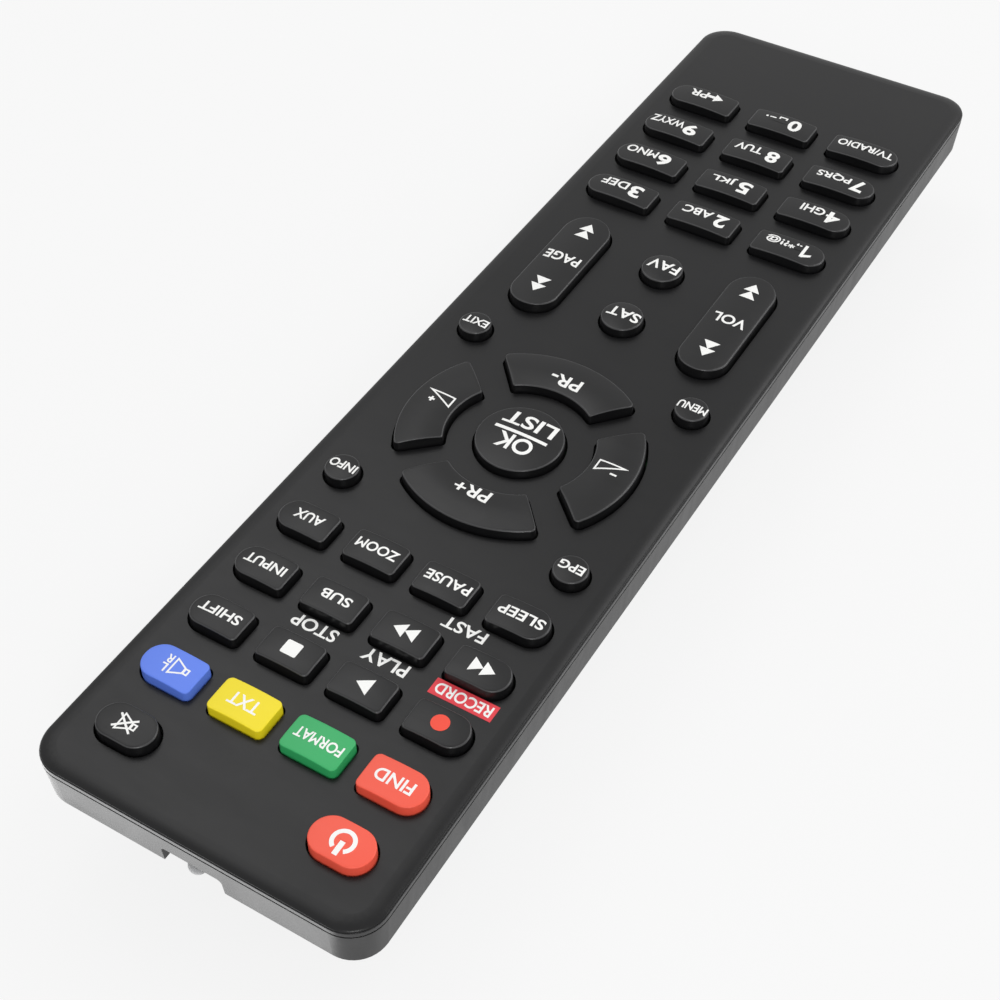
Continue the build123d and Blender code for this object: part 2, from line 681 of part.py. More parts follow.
def battery_springs():
    """Coil spring behind the flat end of each cell."""
    wire = Circle(SPRING_WIRE / 2)
    height = SPRING_LENGTH - SPRING_WIRE
    path = Helix(height / SPRING_TURNS, height, SPRING_RADIUS)
    coil = sweep(Plane(origin=path @ 0, z_dir=path % 0) * wire, path, is_frenet=True)
    gap = TERMINAL_THICKNESS + SPRING_WIRE / 2 + SPRING_CLEARANCE
    left = Pos(-CELL_X, BAY_Y0 + gap, CELL_Z) * Rot(-90, 0, 0) * coil
    right = Pos(CELL_X, BAY_Y1 - gap, CELL_Z) * Rot(90, 0, 0) * coil
    return Compound(left.solids() + right.solids())


def battery_plates():
    """Terminals on the bay's end walls: one bridge at the far end, two at the other."""
    low = CELL_Z - TERMINAL_HEIGHT / 2
    high = CELL_Z + TERMINAL_HEIGHT / 2
    half = TERMINAL_WIDTH / 2
    plates = [box(-CELL_X - half, CELL_X + half, BAY_Y0, BAY_Y0 + TERMINAL_THICKNESS, low, high)]
    for side in (-1, 1):
        x = side * CELL_X
        plates.append(box(x - half, x + half, BAY_Y1 - TERMINAL_THICKNESS, BAY_Y1, low, high))
    return Compound(sum((plate.solids() for plate in plates), []))


def ir_emitter():
    """Clear lamp with a dome at its tip and a flange at its base."""
    length = EMITTER_LENGTH - EMITTER_RADIUS
    grow = (Align.CENTER, Align.CENTER, Align.MIN)
    lamp = Cylinder(EMITTER_RADIUS, length, align=grow) + Pos(0, 0, length) * Sphere(EMITTER_RADIUS)
    lamp += Cylinder(EMITTER_FLANGE_RADIUS, EMITTER_FLANGE, align=grow)
    return Pos(0, EMITTER_TIP - EMITTER_LENGTH, EMITTER_Z) * Rot(-90, 0, 0) * lamp


def emitter_leads():
    """Two legs that run back under the board and turn up into it."""
    base = EMITTER_TIP - EMITTER_LENGTH
    half = LEAD_WIDTH / 2
    leads = []
    for side in (-1, 1):
        x = side * LEAD_SPACING / 2
        run = box(x - half, x + half, base - LEAD_RUN, base, EMITTER_Z - half, EMITTER_Z + half)
        end = base - LEAD_RUN
        rise = box(x - half, x + half, end, end + LEAD_WIDTH, EMITTER_Z - half, BOARD_Z)
        leads += (run + rise).solids()
    return Compound(leads)


def control_chip():
    """Flat chip under the board with a row of legs on each long side."""
    width, length, height = CHIP_BODY
    top = BOARD_Z - CHIP_STANDOFF
    middle = END_Y - CHIP_END
    chip = box(-width / 2, width / 2, middle - length / 2, middle + length / 2, top - height, top)
    first = middle - CHIP_LEG_PITCH * (CHIP_LEGS - 1) / 2
    thick = CHIP_LEG_THICKNESS
    shoulder = top - height / 2 - thick / 2
    legs = []
    for leg in range(CHIP_LEGS):
        y = first + leg * CHIP_LEG_PITCH
        y0, y1 = y - CHIP_LEG_WIDTH / 2, y + CHIP_LEG_WIDTH / 2
        outer = width / 2 + CHIP_LEG_REACH
        bend = width / 2 + CHIP_LEG_REACH / 2
        for side in (-1, 1):
            spans = ((width / 2 - thick, bend, shoulder, shoulder + thick),
                     (bend - thick, bend, shoulder, BOARD_Z),
                     (bend - thick, outer, BOARD_Z - thick, BOARD_Z))
            for x0, x1, z0, z1 in spans:
                ends = sorted((side * x0, side * x1))
                legs.append(box(*ends, y0, y1, z0, z1))
    return chip + legs


def resonator():
    """Three-legged resonator under the board."""
    x, y = RESONATOR_X, END_Y - RESONATOR_END
    width, depth, height = RESONATOR_BODY
    top = BOARD_Z - PIN_STUB
    sides = (x - width / 2, x + width / 2, y - depth / 2, y + depth / 2)
    body = rounded_block(*sides, top - height, top, RESONATOR_CORNER)
    half = PIN_WIDTH / 2
    for pin in range(RESONATOR_PINS):
        px = x + (pin - (RESONATOR_PINS - 1) / 2) * RESONATOR_PITCH
        body += box(px - half, px + half, y - half, y + half, top - PIN_ROOT, BOARD_Z)
    return body


def capacitor():
    """Round capacitor standing on its legs under the board."""
    x, y = CAPACITOR_X, END_Y - CAPACITOR_END
    top = BOARD_Z - PIN_STUB
    can = disc(x, y, top - CAPACITOR_LENGTH, top, CAPACITOR_RADIUS)
    can = fillet(can.edges().filter_by(GeomType.CIRCLE), CAPACITOR_EDGE_RADIUS)
    half = PIN_WIDTH / 2
    for side in (-1, 1):
        px = x + side * CAPACITOR_RADIUS / 2
        can += box(px - half, px + half, y - half, y + half, top - PIN_ROOT, BOARD_Z)
    return can


def chip_parts():
    """Small surface-mounted parts under the board."""

    def block(x, y, size):
        width, depth, height = size
        sides = (x - width / 2, x + width / 2, y - depth / 2, y + depth / 2)
        return box(*sides, BOARD_Z - height, BOARD_Z).solids()

    parts = block(TRANSISTOR_X, END_Y - TRANSISTOR_END, TRANSISTOR_SIZE)
    for index in range(RESISTORS):
        y = END_Y - RESISTOR_END + index * RESISTOR_PITCH
        parts += block(RESISTOR_X, y, RESISTOR_SIZE)
    return Compound(parts)


def main():
    os.makedirs("parts", exist_ok=True)
    keys = all_keys()
    nodes = {
        "top_shell": top_shell(keys),
        "bottom_shell": bottom_shell(),
        "battery_cover": battery_cover(),
        "keypad_mat": keypad_mat(keys),
        "circuit_board": circuit_board(),
        "contact_pads": contact_pads(keys),
        "screws": screws(),
        "battery_left": battery(-1),
        "battery_right": battery(1),
        "battery_springs": battery_springs(),
        "battery_plates": battery_plates(),
        "ir_emitter": ir_emitter(),
        "emitter_leads": emitter_leads(),
        "control_chip": control_chip(),
        "resonator": resonator(),
        "capacitor": capacitor(),
        "chip_parts": chip_parts(),
    }
    for name, key in keys.items():
        pills = sum((pill.solids() for pill in key.contacts()), [])
        nodes[f"key_{name}"] = Compound(key.cap().solids() + pills)
    for name, shape in nodes.items():
        export_step(shape, f"parts/{name}.step")


if __name__ == "__main__":
    main()
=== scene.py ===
"""Looks of a hand-held remote control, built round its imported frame.

Sizes in the dataclasses are millimetres. Meshes are shaped in millimetres and written in metres.
"""

import logging
import math
from dataclasses import dataclass, field
from enum import Enum
from typing import Any, Callable, ClassVar

import bmesh
import bpy
from bmesh.types import BMesh, BMFace, BMVert
from bpy.types import Material, Node, NodeSocket, NodeTree, Object
from mathutils import Euler, Matrix, Vector


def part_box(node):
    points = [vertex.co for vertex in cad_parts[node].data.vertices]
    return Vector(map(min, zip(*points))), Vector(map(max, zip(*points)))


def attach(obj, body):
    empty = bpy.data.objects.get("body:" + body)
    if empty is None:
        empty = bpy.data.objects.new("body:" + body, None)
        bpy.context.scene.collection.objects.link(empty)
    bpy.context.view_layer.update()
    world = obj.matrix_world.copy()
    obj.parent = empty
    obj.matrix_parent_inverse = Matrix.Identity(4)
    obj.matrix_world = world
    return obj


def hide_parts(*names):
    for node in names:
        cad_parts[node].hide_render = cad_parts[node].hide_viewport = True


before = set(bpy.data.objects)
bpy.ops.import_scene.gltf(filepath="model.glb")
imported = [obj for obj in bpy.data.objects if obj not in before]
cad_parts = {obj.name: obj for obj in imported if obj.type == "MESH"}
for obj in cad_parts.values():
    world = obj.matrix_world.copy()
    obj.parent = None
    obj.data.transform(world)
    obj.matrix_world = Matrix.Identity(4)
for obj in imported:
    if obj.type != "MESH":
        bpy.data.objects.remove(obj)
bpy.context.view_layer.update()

MM = 0.001
# Millimetres within which two places count as one.
NEAR = 0.01
LOG = logging.getLogger("remote_control")
Colour = tuple[float, float, float]
Point = tuple[float, float]
Surface = Callable[[float, float], float]


class Graph:
    """Short way to add and join the nodes of one tree."""

    def __init__(self, tree: NodeTree) -> None:
        """Keeps the tree of a material, a world or a group."""
        self.tree = tree

    def feed(self, target: NodeSocket, value: Any) -> None:
        """Gives an input its value.

        Args:
            target: The input.
            value: A socket to link, or a number, a vector or a colour.
        """
        if isinstance(value, NodeSocket):
            self.tree.links.new(value, target)
        else:
            target.default_value = (*value, 1.0) if target.type == "RGBA" else value

    def fill(self, node: Node, **values: Any) -> Node:
        """Sets properties and inputs of a node.

        Args:
            node: The node.
            values: Properties by name, and inputs by name with _ for a space.

        Returns:
            The node.
        """
        for name, value in values.items():
            if hasattr(node, name):
                setattr(node, name, value)
            else:
                self.feed(node.inputs[name.replace("_", " ")], value)
        return node

    def add(self, kind: str, **values: Any) -> Node:
        """Adds a node of a kind, with its properties and inputs set."""
        return self.fill(self.tree.nodes.new(kind), **values)

    def math(self, operation: str, *values: Any) -> NodeSocket:
        """Adds a sum of one or two values.

        Args:
            operation: The name of the sum.
            values: Numbers or sockets, in order.

        Returns:
            The socket with the result.
        """
        node = self.add("ShaderNodeMath", operation=operation)
        for socket, value in zip(node.inputs, values):
            self.feed(socket, value)
        return node.outputs[0]

    def line(self, value: NodeSocket, slope: float, start: float) -> NodeSocket:
        """Start plus slope times a value."""
        return self.math("ADD", self.math("MULTIPLY", value, slope), start)

    def blend(self, factor: Any, low: Any, high: Any) -> NodeSocket:
        """Mixes two colours.

        Args:
            factor: A number or socket from 0 to 1.
            low: Colour or socket where the factor is 0.
            high: Colour or socket where the factor is 1.

        Returns:
            The socket with the mixed colour.
        """
        node = self.add("ShaderNodeMix", data_type="RGBA")
        for number, value in ((0, factor), (6, low), (7, high)):
            self.feed(node.inputs[number], value)
        return node.outputs[2]

    def place(self) -> NodeSocket:
        """Object coordinates."""
        return self.add("ShaderNodeTexCoord").outputs["Object"]

    def axes(self) -> Any:
        """Object coordinates as three outputs: X, Y and Z."""
        return self.add("ShaderNodeSeparateXYZ", Vector=self.place()).outputs

    def effect(self, effect: "Effect", size: float) -> Any:
        """Outputs of a shared effect of a given size."""
        return self.add("ShaderNodeGroup", node_tree=EFFECTS.group(effect), Size_mm=size).outputs


class Effect(Enum):
    """Effects that several finishes share, each built once as a node group."""

    GRAIN = "moulded_grain"
    HANDLING = "handling_marks"
    EDGE = "softened_edges"


class EffectLibrary:
    """Builds each shared effect's node group when it is first asked for."""

    def __init__(self) -> None:
        """Starts with no group built."""
        self.groups: dict[Effect, NodeTree] = {}

    def group(self, effect: Effect) -> NodeTree:
        """Gives an effect's group, and builds it if it is new.

        Args:
            effect: The effect that is wanted.

        Returns:
            The node group.
        """
        if effect not in self.groups:
            builders = {Effect.GRAIN: self._grain, Effect.HANDLING: self._handling, Effect.EDGE: self._edge}
            self.groups[effect] = builders[effect]()
        return self.groups[effect]

    @staticmethod
    def _start(effect: Effect, **outputs: str) -> tuple[Graph, NodeSocket, Node]:
        """Makes an empty group with its sockets.

        Args:
            effect: Names the group.
            outputs: Kind of each output, by name.

        Returns:
            The group's graph, its size input and its output node.
        """
        tree = bpy.data.node_groups.new(effect.value, "ShaderNodeTree")
        tree.interface.new_socket(name="Size mm", in_out="INPUT", socket_type="NodeSocketFloat")
        for name, kind in outputs.items():
            tree.interface.new_socket(name=name, in_out="OUTPUT", socket_type=f"NodeSocket{kind}")
        graph = Graph(tree)
        return graph, graph.add("NodeGroupInput").outputs[0], graph.add("NodeGroupOutput")

    def _grain(self) -> NodeTree:
        """Fine spark-eroded grain of a mould: a height that varies over the surface."""
        graph, size, out = self._start(Effect.GRAIN, Height="Float")
        where = {"Vector": graph.place(), "Scale": graph.math("DIVIDE", 1 / MM, size)}
        pits = graph.add("ShaderNodeTexVoronoi", feature="SMOOTH_F1", **where)
        cloud = graph.add("ShaderNodeTexNoise", Detail=3.0, Roughness=0.6, **where)
        total = graph.math("ADD", pits.outputs["Distance"], cloud.outputs[0])
        graph.fill(out, Height=graph.math("MULTIPLY", total, 0.5))
        return graph.tree

    def _handling(self) -> NodeTree:
        """Faint marks of handling: soft patches and finer smears, as masks from 0 to 1."""
        graph, size, out = self._start(Effect.HANDLING, Patches="Float", Smears="Float")
        place, scale = graph.place(), graph.math("DIVIDE", 1 / MM, size)
        patches = graph.add("ShaderNodeTexNoise", Detail=4.0, Roughness=0.55, Distortion=0.6, Vector=place,
                            Scale=scale)
        stretch = graph.add("ShaderNodeMapping", Rotation=(0.0, 0.0, math.radians(24)),
                            Scale=(1.0, 4.0, 1.0), Vector=place)
        smears = graph.add("ShaderNodeTexNoise", Detail=6.0, Roughness=0.7, Distortion=1.2,
                           Vector=stretch.outputs[0], Scale=scale)
        for name, texture in (("Patches", patches), ("Smears", smears)):
            mask = graph.add("ShaderNodeMapRange", From_Min=0.35, From_Max=0.7, Value=texture.outputs[0])
            graph.fill(out, **{name: mask.outputs[0]})
        return graph.tree

    def _edge(self) -> NodeTree:
        """Edges: a normal that rounds them off, and a mask that is 1 on them."""
        graph, size, out = self._start(Effect.EDGE, Normal="Vector", Mask="Float")
        rounded = graph.add("ShaderNodeBevel", samples=6, Radius=graph.math("MULTIPLY", size, MM)).outputs[0]
        agree = graph.add("ShaderNodeVectorMath", operation="DOT_PRODUCT")
        graph.feed(agree.inputs[0], rounded)
        graph.feed(agree.inputs[1], graph.add("ShaderNodeNewGeometry").outputs["Normal"])
        mask = graph.add("ShaderNodeMapRange", From_Min=1.0, From_Max=0.8, Value=agree.outputs["Value"])
        graph.fill(out, Normal=rounded, Mask=mask.outputs[0])
        return graph.tree


EFFECTS = EffectLibrary()


def srgb(*levels: int) -> Colour:
    """Turns an 8-bit display colour into the linear one that shaders take.

    Args:
        levels: Red, green and blue from 0 to 255.

    Returns:
        The linear colour.
    """
    shares = (level / 255 for level in levels)
    return tuple(s / 12.92 if s <= 0.04045 else ((s + 0.055) / 1.055) ** 2.4 for s in shares)


class FinishBuilder:
    """Base of the finishes: a named material with one Principled shader."""

    made: ClassVar[dict[str, Material]] = {}
    name: str

    def material(self) -> Material:
        """Gives the finish's material, and builds it if it is new.

        Returns:
            The material.
        """
        if self.name not in self.made:
            fresh = bpy.data.materials.new(f"{self.name}_finish")
            fresh.use_nodes = True
            graph = Graph(fresh.node_tree)
            graph.fill(fresh.node_tree.nodes["Principled BSDF"], **self.dress(graph))
            self.made[self.name] = fresh
        return self.made[self.name]

    def dress(self, graph: Graph) -> dict[str, Any]:
        """Builds the material's nodes, and gives the shader's inputs."""
        raise NotImplementedError


@dataclass(frozen=True)
class Moulding(FinishBuilder):
    """Moulded plastic or rubber with a fine grain, faint marks and softened edges, on which the colour is
    lightened as a painted highlight and the roughness lowered as rubbed wear.
    """

    name: str
    colour: Colour
    roughness: float = 0.5
    specular: float = 0.5
    grain: float = 0.2
    relief: float = 0.006
    mottle: float = 0.08
    lift: float = 0.004
    handled: float = 0.06
    marks_size: float = 14.0
    edge_radius: float = 0.0
    # Share of the edge mask, which lowers roughness as rubbed wear and lightens the colour as a painted
    # highlight; gain and lift set the painted highlight's colour.
    edge_wear_and_highlight: float = 0.0
    edge_highlight_gain: float = 1.6
    edge_highlight_lift: float = 0.01
    coat: float = 0.0
    coat_roughness: float = 0.12

    def base(self, graph: Graph, patches: NodeSocket) -> NodeSocket:
        """Colour over the surface, with slight mottling.

        Args:
            graph: The material's graph.
            patches: Mask of the handling marks.

        Returns:
            The colour's socket.
        """
        deep = tuple(c * (1 - self.mottle) for c in self.colour)
        pale = tuple(min(1.0, c * (1 + self.mottle) + self.lift * self.mottle) for c in self.colour)
        return graph.blend(patches, deep, pale)

    def dress(self, graph: Graph) -> dict[str, Any]:
        """Builds colour, roughness and relief.

        Args:
            graph: The material's graph.

        Returns:
            The shader's inputs.
        """
        marks = graph.effect(Effect.HANDLING, self.marks_size)
        colour = self.base(graph, marks["Patches"])
        rough = graph.line(marks["Smears"], self.handled, self.roughness - self.handled / 2)
        bump = graph.add("ShaderNodeBump", Strength=1.0, Distance=self.relief * MM,
                         Height=graph.effect(Effect.GRAIN, self.grain)["Height"])
        if self.edge_radius:
            edge = graph.effect(Effect.EDGE, self.edge_radius)
            graph.fill(bump, Normal=edge["Normal"])
            # Edges: lower roughness as rubbed wear, and a lighter colour as a painted highlight.
            worn = graph.math("MULTIPLY", edge["Mask"], self.edge_wear_and_highlight)
            rough = graph.math("SUBTRACT", rough, worn)
            pale = tuple(min(1.0, c * self.edge_highlight_gain + self.edge_highlight_lift) for c in self.colour)
            colour = graph.blend(worn, colour, pale)
        return {"Base_Color": colour, "Roughness": rough, "Normal": bump.outputs[0],
                "Specular_IOR_Level": self.specular, "Coat_Weight": self.coat,
                "Coat_Roughness": self.coat_roughness}


@dataclass(frozen=True)
class LipHighlightAndShadeMoulding(Moulding):
    """Moulding with a lighter colour painted on the lip under its edge as a highlight, and a near-black
    painted shade on the faces under the lip.
    """

    # The band is the lip's lighter colour, a painted highlight; the next colour is near-black painted shade
    # under the lip; the two heights in millimetres are where each of them stops at the top.
    band: Colour = (0.2, 0.2, 0.2)
    painted_recess_shade: Colour = (0.002, 0.002, 0.002)
    seam_shade_top: float = 16.8
    lip_highlight_top: float = 17.42

    def base(self, graph: Graph, patches: NodeSocket) -> NodeSocket:
        """Plate colour above the lip, the band's lighter colour on the lip as a painted highlight, and
        near-black painted shade below it.

        Args:
            graph: The material's graph.
            patches: Mask of the handling marks.

        Returns:
            The colour's socket.
        """
        height = graph.axes()["Z"]
        # Painted highlight on the lip, painted shade on the faces under it.
        below = graph.math("LESS_THAN", height, self.lip_highlight_top * MM)
        deep = graph.math("LESS_THAN", height, self.seam_shade_top * MM)
        return graph.blend(deep, graph.blend(below, super().base(graph, patches), self.band), self.painted_recess_shade)


@dataclass(frozen=True)
class Metal(FinishBuilder):
    """Plated metal with a fine brushed or drawn pattern."""

    name: str
    colour: Colour
    roughness: float = 0.3
    stretch: tuple[float, float, float] = (1.0, 1.0, 1.0)
    lines_scale: float = 2500.0
    lines_depth: float = 0.004
    marks_size: float = 4.0
    dulling: float = 0.72

    def dress(self, graph: Graph) -> dict[str, Any]:
        """Builds colour, roughness and relief.

        Args:
            graph: The material's graph.

        Returns:
            The shader's inputs.
        """
        along = graph.add("ShaderNodeMapping", Scale=self.stretch, Vector=graph.place())
        lines = graph.add("ShaderNodeTexNoise", Scale=self.lines_scale, Detail=4.0, Roughness=0.65,
                          Vector=along.outputs[0]).outputs[0]
        patches = graph.effect(Effect.HANDLING, self.marks_size)["Patches"]
        dull = tuple(c * self.dulling for c in self.colour)
        bump = graph.add("ShaderNodeBump", Strength=0.6, Distance=self.lines_depth * MM, Height=lines)
        return {"Base_Color": graph.blend(patches, self.colour, dull), "Normal": bump.outputs[0],
                "Roughness": graph.line(lines, slope=0.25, start=self.roughness - 0.12), "Metallic": 1.0}


@dataclass(frozen=True)
class Laminate(FinishBuilder):
    """Phenolic circuit board with etched tracks under a green mask."""

    name: str = "board_laminate"
    mask: Colour = srgb(28, 82, 46)
    track: Colour = srgb(52, 122, 66)
    dirt: Colour = (0.01, 0.03, 0.015)
    dirt_share: float = 0.3
    pitch: float = 2.54
    track_height: float = 0.03
    marks_size: float = 9.0

    def dress(self, graph: Graph) -> dict[str, Any]:
        """Builds tracks under a green mask.

        Args:
            graph: The material's graph.

        Returns:
            The shader's inputs.
        """
        tracks = graph.add("ShaderNodeTexBrick", offset=0.37, squash=0.6, squash_frequency=3,
                           Scale=1 / (self.pitch * MM), Mortar_Size=0.11, Brick_Width=3.0, Row_Height=0.5,
                           Vector=graph.place()).outputs["Fac"]
        marks = graph.effect(Effect.HANDLING, self.marks_size)
        colour = graph.blend(graph.math("SUBTRACT", 1.0, tracks), self.track, self.mask)
        shade = graph.blend(graph.math("MULTIPLY", marks["Patches"], self.dirt_share), colour, self.dirt)
        bump = graph.add("ShaderNodeBump", Strength=0.8, Distance=self.track_height * MM, Height=tracks)
        return {"Base_Color": shade, "Normal": bump.outputs[0],
                "Roughness": graph.line(marks["Smears"], slope=0.1, start=0.3)}


@dataclass(frozen=True)
class Wrapper(FinishBuilder):
    """Printed battery sleeve: dark body, a copper-coloured end band and bare metal on the ends."""

    name: str
    band_from: float
    band_to: float
    axis_x: float
    axis_z: float
    body: Colour = srgb(34, 36, 40)
    band: Colour = srgb(190, 120, 62)
    bare: Colour = srgb(196, 198, 200)
    scuff: Colour = (0.4, 0.4, 0.4)
    scuff_share: float = 0.15
    band_metal: float = 0.8
    core_radius: float = 4.6
    marks_size: float = 8.0

    def dress(self, graph: Graph) -> dict[str, Any]:
        """Builds the band along the cell and bare metal on its two ends.

        Args:
            graph: The material's graph.

        Returns:
            The shader's inputs.
        """
        axes = graph.axes()
        low, high = sorted((self.band_from, self.band_to))
        in_band = graph.math("MULTIPLY", graph.math("GREATER_THAN", axes["Y"], low * MM),
                             graph.math("LESS_THAN", axes["Y"], high * MM))
        squares = [graph.math("POWER", graph.math("SUBTRACT", axes[name], middle * MM), 2.0)
                   for name, middle in (("X", self.axis_x), ("Z", self.axis_z))]
        core = graph.math("LESS_THAN", graph.math("SQRT", graph.math("ADD", *squares)), self.core_radius * MM)
        marks = graph.effect(Effect.HANDLING, self.marks_size)
        sleeve = graph.blend(in_band, self.body, self.band)
        worn = graph.blend(graph.math("MULTIPLY", marks["Smears"], self.scuff_share), sleeve, self.scuff)
        return {"Base_Color": graph.blend(core, worn, self.bare),
                "Metallic": graph.math("MAXIMUM", core, graph.math("MULTIPLY", in_band, self.band_metal)),
                "Roughness": graph.line(marks["Patches"], slope=0.12, start=0.24)}


@dataclass(frozen=True)
class Resin(FinishBuilder):
    """Milky moulded resin of the emitter."""

    name: str = "emitter_resin"
    colour: Colour = (0.26, 0.262, 0.266)
    shading: float = 0.96
    marks_size: float = 2.0
    refraction: float = 1.4

    def dress(self, graph: Graph) -> dict[str, Any]:
        """Builds a milky body with a faintly uneven skin.

        Args:
            graph: The material's graph.

        Returns:
            The shader's inputs.
        """
        marks = graph.effect(Effect.HANDLING, self.marks_size)
        tint = tuple(c * self.shading for c in self.colour)
        return {"Base_Color": graph.blend(marks["Patches"], self.colour, tint), "IOR": self.refraction,
                "Roughness": graph.line(marks["Smears"], slope=0.06, start=0.5)}


# What several mouldings share.
BODY = {"colour": srgb(20, 20, 21), "specular": 0.42, "grain": 0.2, "relief": 0.003}
DARK_RUBBER = {"grain": 0.12, "relief": 0.001, "mottle": 0.05, "handled": 0.08}
BRIGHT_RUBBER = {"roughness": 0.46, "grain": 0.12, "relief": 0.001, "mottle": 0.02}
INK = {"roughness": 0.5, "specular": 0.3, "grain": 0.08, "relief": 0.001, "mottle": 0.02, "handled": 0.04}

# The plate's lip gets a lighter painted highlight (band), and the faces under the lip a near-black painted
# shade.
PLATE = LipHighlightAndShadeMoulding("plate_plastic", srgb(17, 17, 18), roughness=0.32, specular=0.26, grain=0.16, relief=0.0016,
                edge_radius=0.09, edge_wear_and_highlight=0.1, band=srgb(44, 44, 45))
SHELL = Moulding("body_plastic", **BODY, roughness=0.42, edge_radius=0.1, edge_wear_and_highlight=0.1)
COVER = Moulding("cover_plastic", **BODY, roughness=0.44, edge_radius=0.08, edge_wear_and_highlight=0.08)
BLACK_KEY = Moulding("key_rubber", srgb(16, 16, 17), roughness=0.32, specular=0.29, **DARK_RUBBER)
# Lighter rubber for the sloping faces of black keys' rims: a painted highlight.
KEY_RIM_HIGHLIGHT = Moulding("key_rubber_rim_highlight", srgb(54, 54, 55), roughness=0.3, specular=0.4, **DARK_RUBBER)
RED_KEY = Moulding("key_rubber_red", srgb(244, 90, 68), **BRIGHT_RUBBER)
GREEN_KEY = Moulding("key_rubber_green", srgb(48, 170, 98), **BRIGHT_RUBBER)
YELLOW_KEY = Moulding("key_rubber_yellow", srgb(244, 223, 28), **BRIGHT_RUBBER)
BLUE_KEY = Moulding("key_rubber_blue", srgb(94, 130, 236), **BRIGHT_RUBBER)
WHITE_INK = Moulding("white_ink", srgb(250, 250, 248), **INK)
RED_INK = Moulding("red_ink", srgb(230, 68, 78), **INK)
CORAL_INK = Moulding("coral_ink", srgb(246, 84, 66), **INK)
CARBON = Moulding("carbon_film", srgb(22, 22, 23), roughness=0.7, specular=0.3, grain=0.06, relief=0.004)
MAT_RUBBER = Moulding("keypad_rubber", srgb(44, 45, 47), 0.6, specular=0.35, grain=0.15, relief=0.004)
CHIP_EPOXY = Moulding("chip_epoxy", srgb(30, 30, 31), roughness=0.62, grain=0.1, relief=0.01)
CERAMIC = Moulding("chip_ceramic", srgb(38, 38, 40), roughness=0.35, grain=0.1, relief=0.004)
RESONATOR_COAT = Moulding("resonator_coat", srgb(176, 92, 38), 0.28, grain=0.6, relief=0.02, coat=0.4)
SLEEVE = Moulding("capacitor_sleeve", srgb(26, 30, 40), 0.3, grain=0.5, relief=0.004, coat=0.2)
NICKEL = Metal("nickel_steel", (0.62, 0.6, 0.56), roughness=0.28)
ZINC = Metal("zinc_steel", (0.5, 0.51, 0.53), roughness=0.4)
TIN = Metal("tinned_leads", (0.6, 0.61, 0.62), roughness=0.34, stretch=(1.0, 0.1, 1.0))


def cloth(piece: Object, *finishes: FinishBuilder) -> None:
    """Puts finishes in a piece's material slots, in order.

    Args:
        piece: The object.
        finishes: One finish for each slot; the last one also fills any slot that is left.
    """
    slots = piece.data.materials
    for number in range(max(len(slots), len(finishes))):
        material = finishes[min(number, len(finishes) - 1)].material()
        if number < len(slots):
            slots[number] = material
        else:
            slots.append(material)


def dress_nodes(finishes: dict[str, FinishBuilder]) -> None:
    """Puts a finish on each named node of the frame."""
    for node, finish in finishes.items():
        cloth(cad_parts[node], finish)
        LOG.info("%s: %s", node, finish.name)


def write_piece(name: str, bm: BMesh, sharp: float = 32.0) -> Object:
    """Turns a mesh in millimetres into an object in metres at the origin.

    Args:
        name: The piece's name.
        bm: The mesh, which is freed.
        sharp: Angle in degrees past which an edge stays sharp.

    Returns:
        The new object.
    """
    bmesh.ops.recalc_face_normals(bm, faces=bm.faces[:])
    bmesh.ops.scale(bm, vec=(MM, MM, MM), verts=bm.verts[:])
    for face in bm.faces:
        face.smooth = True
    mesh = bpy.data.meshes.new(name)
    bm.to_mesh(mesh)
    bm.free()
    mesh.set_sharp_from_angle(angle=math.radians(sharp))
    piece = bpy.data.objects.new(name, mesh)
    bpy.context.scene.collection.objects.link(piece)
    return piece


def round_corners(bm: BMesh, corners: list[BMVert], radius: float, segments: int) -> None:
    """Rounds corners of a flat face, each with a number of segments."""
    bmesh.ops.bevel(bm, geom=corners, offset=radius, affect="VERTICES", segments=segments, profile=0.5,
                    material=-1)


def extrude(bm: BMesh, faces: list[BMFace], kind: type) -> list[Any]:
    """Extrudes faces, which stay where they are, and gives the new elements of one kind."""
    geom = bmesh.ops.extrude_face_region(bm, geom=faces)["geom"]
    return [item for item in geom if isinstance(item, kind)]


def box_mm(node: str) -> tuple[Vector, Vector]:
    """Lowest and highest corner of a node's box in millimetres."""
    low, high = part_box(node)
    return low / MM, high / MM


@dataclass(frozen=True)
class Mark:
    """One flat mark, drawn in the millimetres of the key that it is printed on."""

    def draw(self, bm: BMesh) -> None:
        """Adds the mark's flat faces to a mesh of marks."""
        raise NotImplementedError


